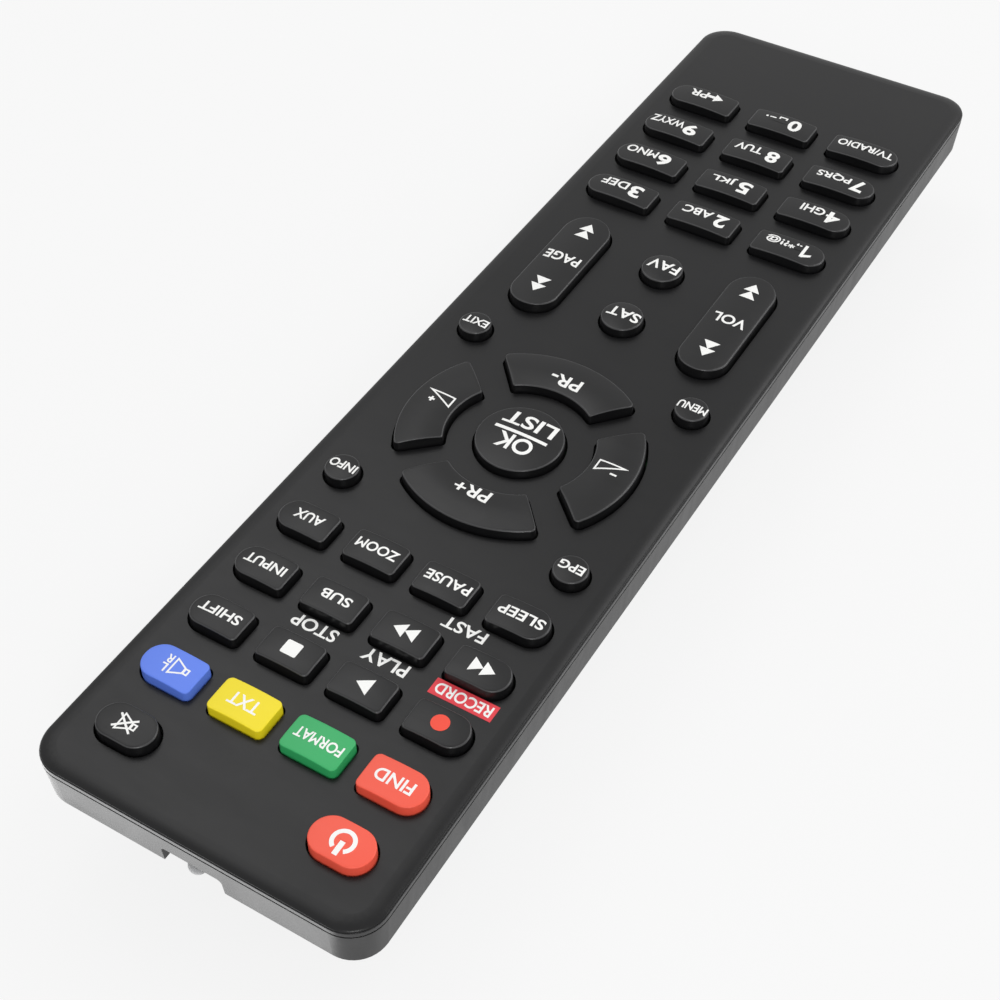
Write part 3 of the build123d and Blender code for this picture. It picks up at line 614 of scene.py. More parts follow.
@dataclass(frozen=True)
class Word(Mark):
    """A word or number, fitted to its width and height."""

    text: str
    width: float
    height: float
    dx: float = 0.0
    dy: float = 0.0
    weight: float = 0.018
    weld: float = 0.0005
    curve_steps: int = 5

    def draw(self, bm: BMesh) -> None:
        """Adds the letters' faces, made bolder by the weight.

        Args:
            bm: The mesh of marks.
        """
        curve = bpy.data.curves.new("word", "FONT")
        curve.body = self.text
        curve.resolution_u = self.curve_steps
        holder = bpy.data.objects.new("word", curve)
        bpy.context.scene.collection.objects.link(holder)
        mesh = bpy.data.meshes.new_from_object(holder)
        bpy.data.objects.remove(holder)
        bpy.data.curves.remove(curve)
        letters = bmesh.new()
        letters.from_mesh(mesh)
        bmesh.ops.remove_doubles(letters, verts=letters.verts[:], dist=self.weld)
        bmesh.ops.recalc_face_normals(letters, faces=letters.faces[:])
        rim = bmesh.ops.inset_region(letters, faces=letters.faces[:], thickness=-self.weight,
                                     use_boundary=True, use_even_offset=True)["faces"]
        bmesh.ops.delete(letters, geom=rim, context="FACES")
        letters.to_mesh(mesh)
        letters.free()
        xs = [v.co.x for v in mesh.vertices]
        ys = [v.co.y for v in mesh.vertices]
        middle = Vector(((min(xs) + max(xs)) / 2, (min(ys) + max(ys)) / 2, 0.0))
        scale = self.width / (max(xs) - min(xs)), self.height / (max(ys) - min(ys)), 1.0, 1.0
        mesh.transform(Matrix.Translation((self.dx, self.dy, 0.0)) @ Matrix.Diagonal(scale)
                       @ Matrix.Translation(-middle))
        bm.from_mesh(mesh)
        bpy.data.meshes.remove(mesh)


@dataclass(frozen=True)
class Dot(Mark):
    """A filled disc."""

    radius: float
    dx: float = 0.0
    dy: float = 0.0
    segments: int = 36

    def draw(self, bm: BMesh) -> None:
        """Adds the disc."""
        bmesh.ops.create_circle(bm, cap_ends=True, radius=self.radius, segments=self.segments,
                                matrix=Matrix.Translation((self.dx, self.dy, 0.0)))


@dataclass(frozen=True)
class Block(Mark):
    """A filled rectangle with rounded corners, turned by an angle in degrees."""

    width: float
    height: float
    dx: float = 0.0
    dy: float = 0.0
    corner: float = 0.0
    turn: float = 0.0
    segments: int = 5

    def draw(self, bm: BMesh) -> None:
        """Adds the rectangle."""
        verts = bmesh.ops.create_grid(bm, x_segments=1, y_segments=1, size=0.5)["verts"]
        bmesh.ops.scale(bm, vec=(self.width, self.height, 1.0), verts=verts)
        spin = Matrix.Rotation(math.radians(self.turn), 4, "Z")
        bmesh.ops.transform(bm, matrix=Matrix.Translation((self.dx, self.dy, 0.0)) @ spin, verts=verts)
        if self.corner:
            round_corners(bm, verts, self.corner, self.segments)


@dataclass(frozen=True)
class Patch(Mark):
    """A filled or outlined shape with straight sides."""

    corners: tuple[Point, ...]
    stroke: float = 0.0

    def draw(self, bm: BMesh) -> None:
        """Adds the shape, and opens its middle if it is only an outline."""
        face = bm.faces.new([bm.verts.new((x, y, 0.0)) for x, y in self.corners])
        face.normal_update()
        if self.stroke:
            bmesh.ops.inset_region(bm, faces=[face], thickness=self.stroke, use_even_offset=True,
                                   use_boundary=True)
            bmesh.ops.delete(bm, geom=[face], context="FACES_ONLY")


@dataclass(frozen=True)
class Hoop(Mark):
    """A round stroke with a gap at its top, which is an angle in degrees."""

    radius: float
    stroke: float
    gap: float
    dx: float = 0.0
    dy: float = 0.0
    steps: int = 48

    def draw(self, bm: BMesh) -> None:
        """Spins a short line round the centre, from one side of the gap to the other."""
        before = set(bm.verts)
        lean = math.radians(self.gap / 2)
        ends = [bm.verts.new((r * math.sin(lean), r * math.cos(lean), 0.0))
                for r in (self.radius - self.stroke, self.radius)]
        bmesh.ops.spin(bm, geom=[*ends, bm.edges.new(ends)], axis=(0, 0, 1), cent=(0, 0, 0),
                       steps=self.steps, angle=-(math.tau - 2 * lean))
        bmesh.ops.translate(bm, vec=(self.dx, self.dy, 0.0), verts=[v for v in bm.verts if v not in before])


@dataclass(frozen=True)
class Legend:
    """Marks of one colour that lie on a surface as one thin piece, cut at each span to follow it."""

    marks: tuple[Mark, ...]
    ink: Moulding = WHITE_INK
    thickness: float = 0.03
    sink: float = 0.06
    span: float = 0.8
    sharp: float = 20.0

    def lay(self, name: str, carrier: str, zero: Vector, surface: Surface) -> None:
        """Lays the marks on a surface.

        Args:
            name: The piece's name.
            carrier: Node or body that the piece rides on.
            zero: Place of the marks' own zero.
            surface: Height that the marks lie on.
        """
        bm = bmesh.new()
        for mark in self.marks:
            mark.draw(bm)
        bmesh.ops.translate(bm, vec=(zero.x, zero.y, 0.0), verts=bm.verts[:])
        bmesh.ops.triangulate(bm, faces=bm.faces[:])
        for axis in (0, 1):
            reach = [v.co[axis] for v in bm.verts]
            for cut in range(1, math.ceil((max(reach) - min(reach)) / self.span)):
                place, normal = Vector(), Vector()
                place[axis], normal[axis] = min(reach) + cut * self.span, 1.0
                bmesh.ops.bisect_plane(bm, geom=bm.verts[:] + bm.edges[:] + bm.faces[:], plane_co=place,
                                       plane_no=normal)
        upper = set(extrude(bm, bm.faces[:], BMVert))
        for vert in bm.verts:
            height = surface(vert.co.x, vert.co.y)
            vert.co.z = height + self.thickness if vert in upper else height - self.sink
        piece = write_piece(name, bm, self.sharp)
        cloth(piece, self.ink)
        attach(piece, carrier)
        LOG.info("%s: %d faces", name, len(piece.data.polygons))


def words(*marks: Mark) -> tuple[Legend, ...]:
    """One white legend of the given marks."""
    return (Legend(marks),)


def speaker(dx: float, dy: float) -> tuple[Mark, ...]:
    """Outline of a loudspeaker: a small box and a horn that opens to the right.

    Args:
        dx: Place across the key.
        dy: Place along the key.

    Returns:
        The two outlines.
    """
    back, neck, mouth, lap = -1.15, -0.45, 1.15, 0.1
    low, tall, stroke = 0.45, 1.25, 0.2
    box = ((back, -low), (neck, -low), (neck, low), (back, low))
    horn = ((neck - lap, -low), (mouth, -tall), (mouth, tall), (neck - lap, low))
    return tuple(Patch(tuple((x + dx, y + dy) for x, y in shape), stroke) for shape in (box, horn))


def arrows(middle: float, way: int, length: float = 1.58, half: float = 1.05, aside: float = -0.2,
           upright: bool = False) -> tuple[Mark, ...]:
    """Two filled triangles in line.

    Args:
        middle: Place of the pair's middle on the line.
        way: 1 to point right or towards the emitter, -1 to point the other way.
        length: Length of each triangle.
        half: Half of its width.
        aside: How far the line lies off the key's middle.
        upright: True for a line along the key, False for one across it.

    Returns:
        The two triangles.
    """
    marks, lap = [], 0.04
    for start in (-length, -lap):
        base, tip = middle + way * start, middle + way * (start + length)
        corners = ((base, aside - half), (base, aside + half), (tip, aside))
        marks.append(Patch(tuple((y, x) for x, y in corners) if upright else corners))
    return tuple(marks)


def wedge(way: int) -> tuple[Mark, ...]:
    """Outlined volume wedge whose thin end points outwards.

    Args:
        way: 1 on the right-hand key, -1 on the left-hand one.

    Returns:
        The wedge and its plus or minus sign.
    """
    wide, tip, low, high, stroke = -way * 1.7, way * 2.4, -1.85, 0.15, 0.22
    sign_x, sign_y, bar, thin = way * 1.05, -0.15, 0.9, 0.28
    marks: list[Mark] = [Patch(((wide, low), (tip, low), (wide, high)), stroke),
                         Block(bar, thin, sign_x, sign_y)]
    if way > 0:
        marks.append(Block(thin, bar, sign_x, sign_y))
    return tuple(marks)


class Form(Enum):
    """Plan shapes of the keys."""

    BAR = "bar"
    ROUND = "round"
    SECTOR = "sector"
    ROCKER = "rocker"


# Corner radii in plan, radii of the crowns, and half-angles of the ring's keys at its inside and outside.
CORNER, ROUND_END, MEDIA_END, DIGIT_END = 0.75, 2.48, 2.35, 2.43
SMALL_CROWN, RING_CROWN, ROCKER_CROWN, DIGIT_CROWN, OK_CROWN = 16.0, 19.0, 22.0, 48.0, 46.0
CHANNEL_SPREAD, VOLUME_SPREAD = (36.2, 38.4), (30.2, 35.2)
# Weight that the digits add to the font's.
BOLD = 0.03


@dataclass(frozen=True)
class Key:
    """One key: what is printed on it, its plan, its rubber and its crown."""

    name: str
    legends: tuple[Legend, ...] = ()
    form: Form = Form.BAR
    rubber: Moulding = BLACK_KEY
    left: float = CORNER
    right: float = CORNER
    crown: float = 34.0
    turn: float = 0.0
    spread: Point = (0.0, 0.0)

    @property
    def dark(self) -> bool:
        """True for a black key."""
        return self.rubber is BLACK_KEY


def bar_keys() -> list[Key]:
    """Lists the keys at the emitter end.

    Returns:
        The keys in reading order.
    """
    power = words(Hoop(1.5, 0.5, 64.0, -0.2), Block(0.62, 1.75, -0.2, 0.92))
    cross = (Block(3.1, 0.26, 0.15, 0.0, turn=angle) for angle in (38.0, -38.0))
    audio = words(*speaker(-1.2, -0.05), Word("L", 0.75, 1.15, 0.7, 0.6), Word("R", 0.85, 1.15, 0.72, -0.7))
    return [
        Key("power", power, rubber=RED_KEY, left=ROUND_END, right=ROUND_END),
        Key("mute", words(*speaker(-0.2, 0.0), *cross), left=ROUND_END, right=ROUND_END),
        Key("red", words(Word("FIND", 4.85, 1.6, 0.15, -0.05)), rubber=RED_KEY, left=MEDIA_END),
        Key("green", words(Word("FORMAT", 6.1, 1.4, -0.12, -0.1)), rubber=GREEN_KEY),
        Key("yellow", words(Word("TXT", 4.0, 1.7, 0.0, -0.05)), rubber=YELLOW_KEY),
        Key("blue", audio, rubber=BLUE_KEY, right=MEDIA_END),
        Key("record", (Legend((Dot(1.1, 0.0, -0.17),), CORAL_INK),), left=MEDIA_END),
        Key("play", words(Patch(((-0.95, -1.37), (0.95, -0.17), (-0.95, 1.03))))),
        Key("stop", words(Block(2.1, 2.0, -0.05, -0.17, 0.22))),
        Key("shift", words(Word("SHIFT", 5.65, 1.4, 0.0, -0.27)), right=MEDIA_END),
        Key("rewind", words(*arrows(-0.2, -1)), left=MEDIA_END),
        Key("forward", words(*arrows(0.2, 1))),
        Key("subtitle", words(Word("SUB", 4.05, 1.4, -0.1, -0.24))),
        Key("source", words(Word("INPUT", 5.65, 1.4, -0.05, -0.24)), right=MEDIA_END),
        Key("sleep", words(Word("SLEEP", 6.0, 1.5, 0.0, -0.26)), left=MEDIA_END),
        Key("pause", words(Word("PAUSE", 6.1, 1.5, -0.12, -0.26))),
        Key("zoom", words(Word("ZOOM", 5.75, 1.5, 0.0, -0.26))),
        Key("input", words(Word("AUX", 4.0, 1.5, -0.2, -0.26)), right=MEDIA_END),
    ]


def ring_keys() -> list[Key]:
    """Lists the ring with OK in it, the round keys and the two rockers.

    Returns:
        The keys in reading order.
    """
    small = (("guide", "EPG", 3.3, 1.4, 0.0, -0.25), ("info", "INFO", 3.8, 1.4, 0.0, -0.25),
             ("menu", "MENU", 4.05, 1.4, 0.0, -0.25), ("exit", "EXIT", 3.6, 1.4, 0.0, -0.25))
    larger = (("satellite", "SAT", 4.7, 1.9, -0.1, -0.3), ("favourite", "FAV", 4.65, 2.0, -0.1, -0.35))
    near, far = ([Key(name, words(Word(*word)), Form.ROUND, crown=SMALL_CROWN) for name, *word in group]
                 for group in (small, larger))
    ok = words(Word("OK", 5.1, 2.7, 0.05, 1.4), Block(7.55, 0.5, 0.12, -0.5),
               Word("LIST", 7.3, 2.5, 0.0, -2.8))
    keys = [*near, Key("ok", ok, Form.ROUND, crown=OK_CROWN)]
    ring = (("channel_up", (Word("PR+", 4.95, 2.0, 0.22, -0.9),), 0.0, CHANNEL_SPREAD),
            ("channel_down", (Word("PR-", 4.45, 2.0, 0.0, 0.2),), 180.0, CHANNEL_SPREAD),
            ("volume_up", wedge(1), 270.0, VOLUME_SPREAD), ("volume_down", wedge(-1), 90.0, VOLUME_SPREAD))
    for name, marks, turn, spread in ring:
        keys.append(Key(name, words(*marks), Form.SECTOR, crown=RING_CROWN, turn=turn, spread=spread))
    keys += far
    for name, text, width, dx in (("volume", "VOL", 4.85, 0.0), ("page", "PAGE", 5.4, 0.05)):
        pairs = (arrows(middle, way, 1.62, 1.15, 0.0, True) for middle, way in ((6.35, 1), (-7.4, -1)))
        legends = words(Word(text, width, 1.9, dx, -0.45), *(mark for pair in pairs for mark in pair))
        keys.append(Key(f"{name}_rocker", legends, Form.ROCKER, crown=ROCKER_CROWN))
    return keys


def digit_keys() -> list[Key]:
    """Lists the keys of the number pad.

    Returns:
        The twelve keys.
    """
    numbers = (
        ("1", 1.55, -2.7, ".,*?!@", 5.4, 1.2), ("2", 1.9, -2.45, "ABC", 4.6, 1.35),
        ("3", 1.9, -2.15, "DEF", 4.2, 1.4), ("4", 2.1, -2.55, "GHI", 3.65, 0.68),
        ("5", 2.0, -2.0, "JKL", 3.85, 1.48), ("6", 2.05, -2.08, "MNO", 5.0, 1.7),
        ("7", 1.9, -2.65, "PQRS", 5.3, 1.25), ("8", 1.95, -2.32, "TUV", 4.3, 1.7),
        ("9", 2.1, -2.05, "WXYZ", 5.5, 1.95),
    )
    one = Patch(((-2.35, -1.66), (-1.9, -1.66), (-1.9, 1.1), (-2.3, 1.1), (-3.4, 0.45), (-3.4, 0.0),
                 (-2.35, 0.5)))
    space = (Block(1.3, 0.24, 0.35, -1.45), Block(0.24, 0.6, -0.2, -1.25), Block(0.24, 0.6, 0.9, -1.25))
    zero = (Word("0", 2.0, 2.75, -1.9, -0.28, BOLD), *space, Block(1.0, 0.24, 1.95, -0.9),
            Dot(0.2, 2.95, -0.9))
    back = (Patch(((-2.9, -0.85), (-1.5, 0.15), (-1.5, -1.85))), Block(1.2, 0.6, -1.0, -0.85),
            Word("PR", 3.0, 1.7, 1.15, -0.8))
    rows: list[tuple[str, tuple[Mark, ...]]] = []
    for digit, width, dx, letters, span, shift in numbers:
        figure = one if digit == "1" else Word(digit, width, 2.75, dx, -0.28, BOLD)
        rows.append((f"digit_{digit}", (figure, Word(letters, span, 1.7, shift, -0.8))))
    rows += [("tv_radio", (Word("TV/RADIO", 8.8, 1.6, 0.0, -0.6),)), ("digit_0", zero), ("previous", back)]
    ends = ((DIGIT_END, CORNER), (CORNER, CORNER), (CORNER, DIGIT_END))
    return [Key(name, words(*marks), crown=DIGIT_CROWN, left=ends[index % 3][0], right=ends[index % 3][1])
            for index, (name, marks) in enumerate(rows)]


@dataclass(frozen=True)
class Ring:
    """Centre and radii of the keys round OK."""

    hub: Vector
    outer: float
    inner: float = 9.7

    @property
    def middle(self) -> float:
        """Radius halfway across the keys."""
        return (self.inner + self.outer) / 2

    def point(self, angle: float) -> Vector:
        """Place halfway across the keys, at an angle from the emitter's side."""
        return Vector((self.hub.x - self.middle * math.sin(angle),
                       self.hub.y + self.middle * math.cos(angle), 0.0))


@dataclass
class Cap:
    """The moulded rubber cap of one key, with its carbon pills and its printing."""

    key: Key
    ring: Ring
    rim: float = 0.18
    bright_rim: float = 0.13
    rim_segments: int = 5
    # Range of the upward part of a face's normal within which rim faces get the painted highlight.
    rim_highlight_low: float = 0.3
    rim_highlight_high: float = 0.97
    draft: float = 0.12
    bright_draft: float = 0.03
    draft_height: float = 2.4
    first_inset: float = 0.42
    insets: tuple[float, ...] = (0.3, 0.55, 0.78, 0.94)
    side_step: float = 0.7
    round_segments: int = 72
    corner_segments: int = 12
    corner_room: float = 0.02
    pill_radius: float = 1.5
    pill_depth: float = 0.2
    pill_segments: int = 28
    arc_steps: int = 26
    end_step: float = 7.0
    end_segments: int = 8
    tip_radius: float = 0.9
    root_radius: float = 0.35
    print_room: float = 0.03
    low: Vector = field(init=False)
    high: Vector = field(init=False)
    middle: Vector = field(init=False)
    bm: BMesh = field(init=False)

    def build(self) -> None:
        """Builds the cap in place of its node, and prints its legends."""
        key, node = self.key, f"key_{self.key.name}"
        self.low, self.high = box_mm(node)
        self.middle = (self.low + self.high) / 2
        self.bm = bmesh.new()
        self.draw_plan()
        self.raise_sides()
        self.add_pills()
        piece = write_piece(f"{key.name}_cap", self.bm)
        # Black keys get the lighter painted highlight on their rims; coloured keys keep their own rubber
        # there.
        cloth(piece, key.rubber, CARBON, KEY_RIM_HIGHLIGHT if key.dark else key.rubber)
        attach(piece, node)
        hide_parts(node)
        LOG.info("%s: %d faces", node, len(piece.data.polygons))
        for number, legend in enumerate(key.legends, 1):
            legend.lay(f"{key.name}_print_{number}", node, self.middle, self.surface)

    def surface(self, x: float, y: float) -> float:
        """Height of the crowned top.

        Args:
            x: Place across the casing.
            y: Place along the casing.

        Returns:
            The height at that place.
        """
        if self.key.form is Form.SECTOR:
            reach = math.hypot(x - self.ring.hub.x, y - self.ring.hub.y) - self.ring.middle
        elif self.key.form is Form.ROCKER:
            reach = x - self.middle.x
        else:
            reach = math.hypot(x - self.middle.x, y - self.middle.y)
        crown = self.key.crown
        return self.high.z - self.print_room - crown + math.sqrt(crown**2 - reach**2)

    def draw_plan(self) -> None:
        """Adds the key's plan as one flat face at its place."""
        bm, key, middle = self.bm, self.key, self.middle
        width, height = self.high.x - self.low.x, self.high.y - self.low.y
        if key.form is Form.SECTOR:
            self.draw_sector()
            middle = self.ring.hub
        elif key.form is Form.ROUND:
            bmesh.ops.create_circle(bm, cap_ends=True, radius=width / 2, segments=self.round_segments)
        else:
            bmesh.ops.create_grid(bm, x_segments=1, y_segments=1, size=0.5)
            bmesh.ops.scale(bm, vec=(width, height, 1.0), verts=bm.verts[:])
            limit = min(width, height) / 2 - self.corner_room
            ends = (limit, limit) if key.form is Form.ROCKER else (key.left, key.right)
            for side, radius in zip((-1, 1), ends):
                corners = [v for v in bm.verts if v.co.x * side > width / 2 - NEAR]
                round_corners(bm, corners, min(radius, limit), self.corner_segments)
        for edge in list(bm.edges):
            cuts = int(edge.calc_length() / self.side_step)
            if cuts:
                bmesh.ops.subdivide_edges(bm, edges=[edge], cuts=cuts)
        bmesh.ops.translate(bm, vec=(middle.x, middle.y, 0.0), verts=bm.verts[:])

    def draw_sector(self) -> None:
        """Adds the plan of a key of the ring, about the ring's centre."""
        bm, ring = self.bm, self.ring
        inner_half, outer_half = (math.radians(angle) for angle in self.key.spread)
        ends = [bm.verts.new((r * math.sin(outer_half), r * math.cos(outer_half), 0.0))
                for r in (ring.inner, ring.outer)]
        geom: list[Any] = [*ends, bm.edges.new(ends)]
        tip = math.radians(self.end_step)
        for angle, steps in ((tip, 1), (2 * (outer_half - tip), self.arc_steps), (tip, 1)):
            geom = bmesh.ops.spin(bm, geom=geom, axis=(0, 0, 1), cent=(0, 0, 0), angle=angle,
                                  steps=steps)["geom_last"]
        bmesh.ops.dissolve_faces(bm, faces=bm.faces[:])
        for vert in bm.verts:
            if vert.co.xy.length < ring.middle:
                angle = math.atan2(vert.co.x, vert.co.y) * inner_half / outer_half
                vert.co.xy = ring.inner * math.sin(angle), ring.inner * math.cos(angle)
        for reach, radius, half in ((ring.outer, self.tip_radius, outer_half),
                                    (ring.inner, self.root_radius, inner_half)):
            corners = [v for v in bm.verts if abs(v.co.xy.length - reach) < NEAR
                       and abs(abs(math.atan2(v.co.x, v.co.y)) - half) * reach < 2 * NEAR]
            round_corners(bm, corners, radius, self.end_segments)
        turn = Matrix.Rotation(math.radians(self.key.turn), 4, "Z")
        bmesh.ops.transform(bm, matrix=turn, verts=bm.verts[:])

    def spine(self, place: Vector, size: Vector) -> Vector:
        """Point of the key's middle line that a point of its edge closes in on.

        Args:
            place: Point on the key's top.
            size: Size of the key's plan.

        Returns:
            The point on the middle line, in plan.
        """
        if self.key.form is Form.SECTOR:
            away = place - self.ring.hub
            centre = math.radians(self.key.turn)
            angle = math.remainder(math.atan2(-away.x, away.y) - centre, math.tau)
            ends = (self.ring.outer - self.ring.inner) / 2 / self.ring.middle
            half = math.radians(sum(self.key.spread) / 2) - ends
            return self.ring.point(centre + max(-half, min(half, angle)))
        half_x, half_y = max(0.0, (size.x - size.y) / 2), max(0.0, (size.y - size.x) / 2)
        x = max(-half_x, min(half_x, place.x - self.middle.x))
        y = max(-half_y, min(half_y, place.y - self.middle.y))
        return Vector((self.middle.x + x, self.middle.y + y, 0.0))

    def raise_sides(self) -> None:
        """Raises the plan: drafted sides, a crowned top, and a rounded rim whose sloping faces take the third
        material, which on black keys is a lighter painted highlight.
        """
        bm = self.bm
        base = self.low.z + self.pill_depth
        foot = max(base, self.surface(self.middle.x, self.middle.y) - self.draft_height)
        top = bm.faces[:][0]
        under = set(extrude(bm, [top], BMVert))
        xs, ys = ([v.co[axis] for v in top.verts] for axis in (0, 1))
        size = Vector((max(xs) - min(xs), max(ys) - min(ys), 0.0))
        top.normal_update()
        draft, roll = (self.draft, self.rim) if self.key.dark else (self.bright_draft, self.bright_rim)
        bmesh.ops.inset_region(bm, faces=[top], thickness=draft, use_boundary=True, use_even_offset=True)
        rim_verts = set(top.verts)
        shoulder = set(bm.verts) - under - rim_verts
        done = 0.0
        for share in (0.0, *self.insets):
            inner = top
            top = extrude(bm, [inner], BMFace)[0]
            bmesh.ops.delete(bm, geom=[inner], context="FACES_ONLY")
            for vert in top.verts:
                goal = self.spine(vert.co, size) - Vector((vert.co.x, vert.co.y, 0.0))
                first = goal.normalized() * min(self.first_inset, goal.length / 2)
                vert.co += goal * ((share - done) / (1 - done)) if share else first
            done = share
        for vert in bm.verts:
            crown = foot if vert in shoulder else self.surface(vert.co.x, vert.co.y)
            vert.co.z = base if vert in under else crown
        bm.normal_update()
        rim = [e for e in bm.edges if rim_verts.issuperset(e.verts)]
        made = bmesh.ops.bevel(bm, geom=rim, offset=roll, affect="EDGES", segments=self.rim_segments,
                               profile=0.5, material=-1)
        for face in made["faces"]:
            face.normal_update()
            # Sloping rim faces take the third material, a painted highlight on black keys.
            if self.rim_highlight_low < abs(face.normal.z) < self.rim_highlight_high:
                face.material_index = 2

    def add_pills(self) -> None:
        """Adds the carbon pills under the cap, in the second material."""
        size, places = self.high - self.low, [self.middle]
        if self.key.form is Form.SECTOR:
            places = [self.ring.point(math.radians(self.key.turn))]
        elif self.key.form is Form.ROCKER:
            places = [self.middle + Vector((0.0, side * (size.y - size.x) / 2, 0.0)) for side in (-1, 1)]
        for place in places:
            centre = Matrix.Translation((place.x, place.y, self.low.z + self.pill_depth / 2))
            made = bmesh.ops.create_cone(self.bm, cap_ends=True, segments=self.pill_segments,
                                         radius1=self.pill_radius, radius2=self.pill_radius,
                                         depth=self.pill_depth, matrix=centre)
            for face in {f for v in made["verts"] for f in v.link_faces}:
                face.material_index = 1


@dataclass
class Keypad:
    """All the keys."""

    keys: list[Key] = field(default_factory=lambda: bar_keys() + ring_keys() + digit_keys())

    def build(self) -> None:
        """Measures the ring, and builds every key."""
        low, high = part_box("key_ok")
        hub = (low + high) / 2 / MM
        ring = Ring(hub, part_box("key_channel_up")[1].y / MM - hub.y)
        for key in self.keys:
            Cap(key, ring).build()


@dataclass
class Casing:
    """The two shells, the battery cover and the words printed on the plate."""

    labels: tuple[tuple[str, float, float, float, float], ...] = (
        ("PLAY", 5.96, 1.8, -4.64, 54.66), ("STOP", 6.1, 1.8, 5.18, 54.66),
        ("FAST", 5.76, 1.72, -9.89, 46.03),
    )
    record_place: Point = (-15.06, 54.56)
    record_field: Point = (8.23, 2.32)
    record_word: Point = (7.3, 1.55)

    def build(self) -> None:
        """Dresses the shells, and prints the words beside the playback keys."""
        dress_nodes({"top_shell": PLATE, "bottom_shell": SHELL, "battery_cover": COVER})
        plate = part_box("top_shell")[1].z / MM
        patch = Legend((Block(*self.record_field, *self.record_place),), RED_INK)
        prints = {
            "words": (Legend(tuple(Word(*label) for label in self.labels)), plate),
            "record_field": (patch, plate),
            "record_word": (Legend((Word("RECORD", *self.record_word, *self.record_place),)),
                            plate + patch.thickness),
        }
        for name, (legend, height) in prints.items():
            legend.lay(f"plate_{name}", "casing", Vector(), lambda x, y, level=height: level)


@dataclass
class Inside:
    """Board, contacts, batteries and emitter, which keep their own solids."""

    band_length: float = 11.0

    def build(self) -> None:
        """Dresses every inner node."""
        dress_nodes({
            "keypad_mat": MAT_RUBBER, "circuit_board": Laminate(), "contact_pads": CARBON, "screws": ZINC,
            "battery_springs": NICKEL, "battery_plates": NICKEL, "ir_emitter": Resin(), "emitter_leads": TIN,
            "control_chip": CHIP_EPOXY, "resonator": RESONATOR_COAT, "capacitor": SLEEVE,
            "chip_parts": CERAMIC, "battery_left": self.wrapper("battery_left", 1),
            "battery_right": self.wrapper("battery_right", -1),
        })

    def wrapper(self, node: str, side: int) -> Wrapper:
        """Sleeve of one cell, with its band at the end that carries the nub.

        Args:
            node: The cell's node.
            side: 1 if the nub points towards the emitter, -1 if away.

        Returns:
            The finish.
        """
        low, high = box_mm(node)
        tip = high.y if side > 0 else low.y
        middle = (low + high) / 2
        return Wrapper(f"cell_wrapper_{node}", tip - side * self.band_length, tip, middle.x, middle.z)


@dataclass(frozen=True)
class Lamp:
    """A soft square lamp: its place, its target, the length of its side and its power in watts."""

    name: str
    place: tuple[float, float, float]
    target: tuple[float, float, float]
    size: float
    power: float
    seen: bool = True

    def build(self) -> None:
        """Adds the lamp to the scene."""
        data = bpy.data.lights.new(self.name, "AREA")
        data.size = self.size * MM
        data.energy = self.power
        lamp = bpy.data.objects.new(self.name, data)
        lamp.location = Vector(self.place) * MM
        aim = Vector(self.target) - Vector(self.place)
        lamp.rotation_euler = aim.to_track_quat("-Z", "Y").to_euler()
        lamp.visible_camera = self.seen
        bpy.context.scene.collection.objects.link(lamp)


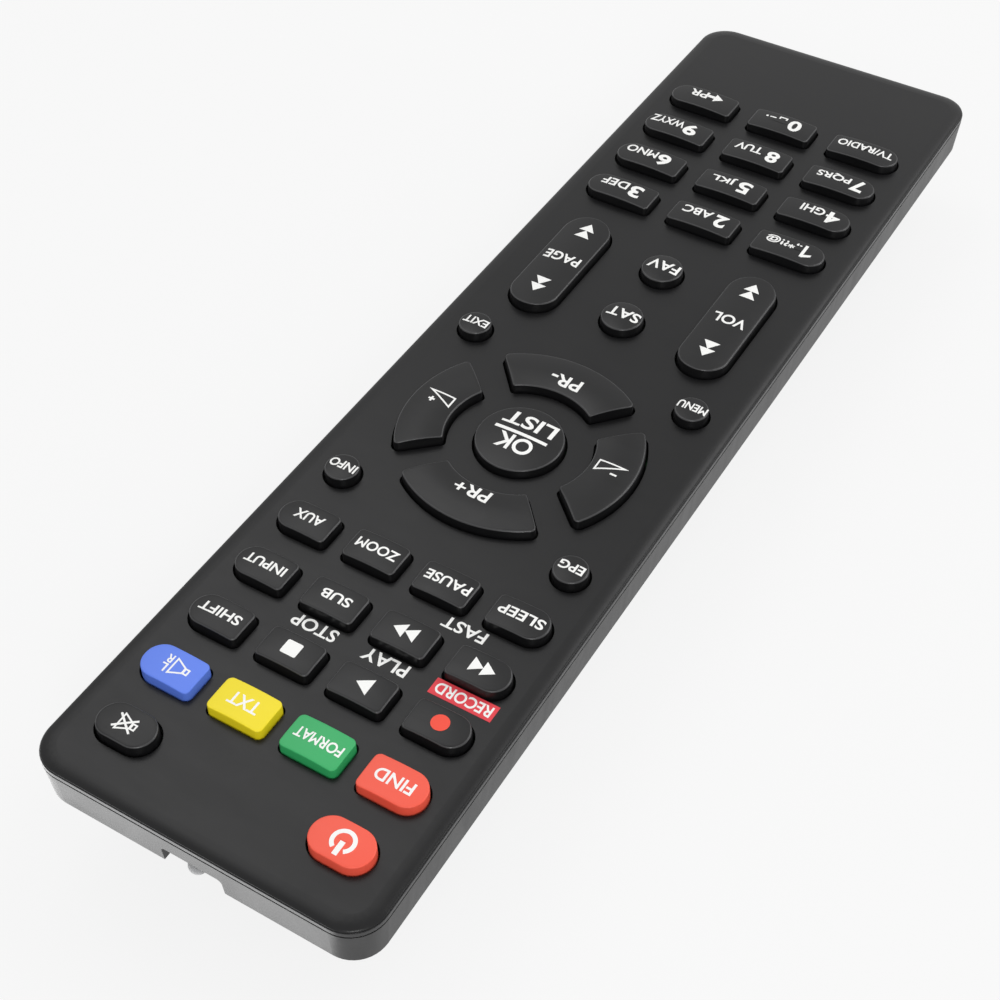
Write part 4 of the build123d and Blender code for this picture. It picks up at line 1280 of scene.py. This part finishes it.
@dataclass
class Studio:
    """Floor, light and camera."""

    camera_place: tuple[float, float, float] = (-77.43, 150.30, 173.31)
    camera_turn: tuple[float, float, float] = (42.973, 0.027, -148.99)
    lens: float = 61.71
    clip: tuple[float, float] = (0.01, 10.0)
    floor_size: float = 4000.0
    floor_tone: float = 0.86
    floor_cover: float = 0.87
    backdrop: float = 0.96
    ambient: float = 0.52
    lamps: tuple[Lamp, ...] = (
        Lamp("front_lamp", (-260, 400, 330), (0, 60, 10), 180, 0.95),
        Lamp("side_lamp", (-420, -220, 170), (0, 0, 10), 180, 0.35),
        Lamp("top_lamp", (240, -140, 510), (0, 20, 0), 300, 0.5),
        Lamp("ridge_lamp", (-160, -330, 420), (-10, 0, 10), 260, 0.57),
        Lamp("front_card", (10, 112, 0.3), (10, 112, 100), 50, 0.0155, seen=False),
        Lamp("left_card", (46, 66, 0.3), (46, 66, 100), 44, 0.0128, seen=False),
    )

    def build(self) -> None:
        """Builds the whole studio, in place of the start-up scene's own things."""
        for name in ("Cube", "Light", "Camera"):
            if name in bpy.data.objects:
                bpy.data.objects.remove(bpy.data.objects[name])
        self.add_camera()
        self.add_floor()
        self.add_world()
        for lamp in self.lamps:
            lamp.build()
        bpy.context.scene.view_settings.view_transform = "Standard"
        LOG.info("studio built")

    def add_camera(self) -> None:
        """Adds the camera at the photographed angle."""
        data = bpy.data.cameras.new("camera")
        data.lens = self.lens
        data.clip_start, data.clip_end = self.clip
        camera = bpy.data.objects.new("camera", data)
        camera.location = Vector(self.camera_place) * MM
        camera.rotation_euler = Euler([math.radians(angle) for angle in self.camera_turn], "XYZ")
        bpy.context.scene.collection.objects.link(camera)
        bpy.context.scene.camera = camera

    def show_backdrop(self, graph: Graph, lit: Node, plain: Node, cover: float,
                      output: str) -> None:
        """Shows a plain backdrop to the camera and to rays that mirrors and glass send on.

        Args:
            graph: Graph of the floor's material or of the world.
            lit: Shader that the other rays meet.
            plain: Shader of the backdrop.
            cover: How much of the lit shader the backdrop hides.
            output: Name of the output node.
        """
        path = graph.add("ShaderNodeLightPath").outputs
        seen = graph.math("MAXIMUM", path["Is Camera Ray"], path["Is Glossy Ray"])
        seen = graph.math("MAXIMUM", seen, path["Is Transmission Ray"])
        mixer = graph.add("ShaderNodeMixShader")
        values = (graph.math("MULTIPLY", seen, cover), lit.outputs[0], plain.outputs[0])
        for socket, value in zip(mixer.inputs, values):
            graph.feed(socket, value)
        graph.fill(graph.tree.nodes[output], Surface=mixer.outputs[0])

    def add_floor(self) -> None:
        """Adds a pale floor that keeps the object's soft shadow."""
        bm = bmesh.new()
        bmesh.ops.create_grid(bm, x_segments=1, y_segments=1, size=self.floor_size / 2)
        floor = write_piece("floor", bm)
        material = bpy.data.materials.new("pale_floor")
        material.use_nodes = True
        graph = Graph(material.node_tree)
        lit = graph.fill(material.node_tree.nodes["Principled BSDF"], Base_Color=(self.floor_tone,) * 3,
                         Roughness=0.9, Specular_IOR_Level=0.0)
        plain = graph.add("ShaderNodeEmission", Color=(self.backdrop,) * 3)
        self.show_backdrop(graph, lit, plain, self.floor_cover, "Material Output")
        floor.data.materials.append(material)

    def add_world(self) -> None:
        """Adds an even surrounding light and a pale background."""
        world = bpy.data.worlds.new("studio")
        world.use_nodes = True
        bpy.context.scene.world = world
        graph = Graph(world.node_tree)
        lit = graph.fill(world.node_tree.nodes["Background"], Color=(1.0,) * 3, Strength=self.ambient)
        plain = graph.add("ShaderNodeBackground", Color=(self.backdrop,) * 3, Strength=1.0)
        self.show_backdrop(graph, lit, plain, 1.0, "World Output")


def main() -> None:
    """Builds the remote control and its studio."""
    logging.basicConfig(level=logging.INFO, format="%(name)s: %(message)s")
    Studio().build()
    Keypad().build()
    Casing().build()
    Inside().build()


if __name__ == "__main__":
    main()
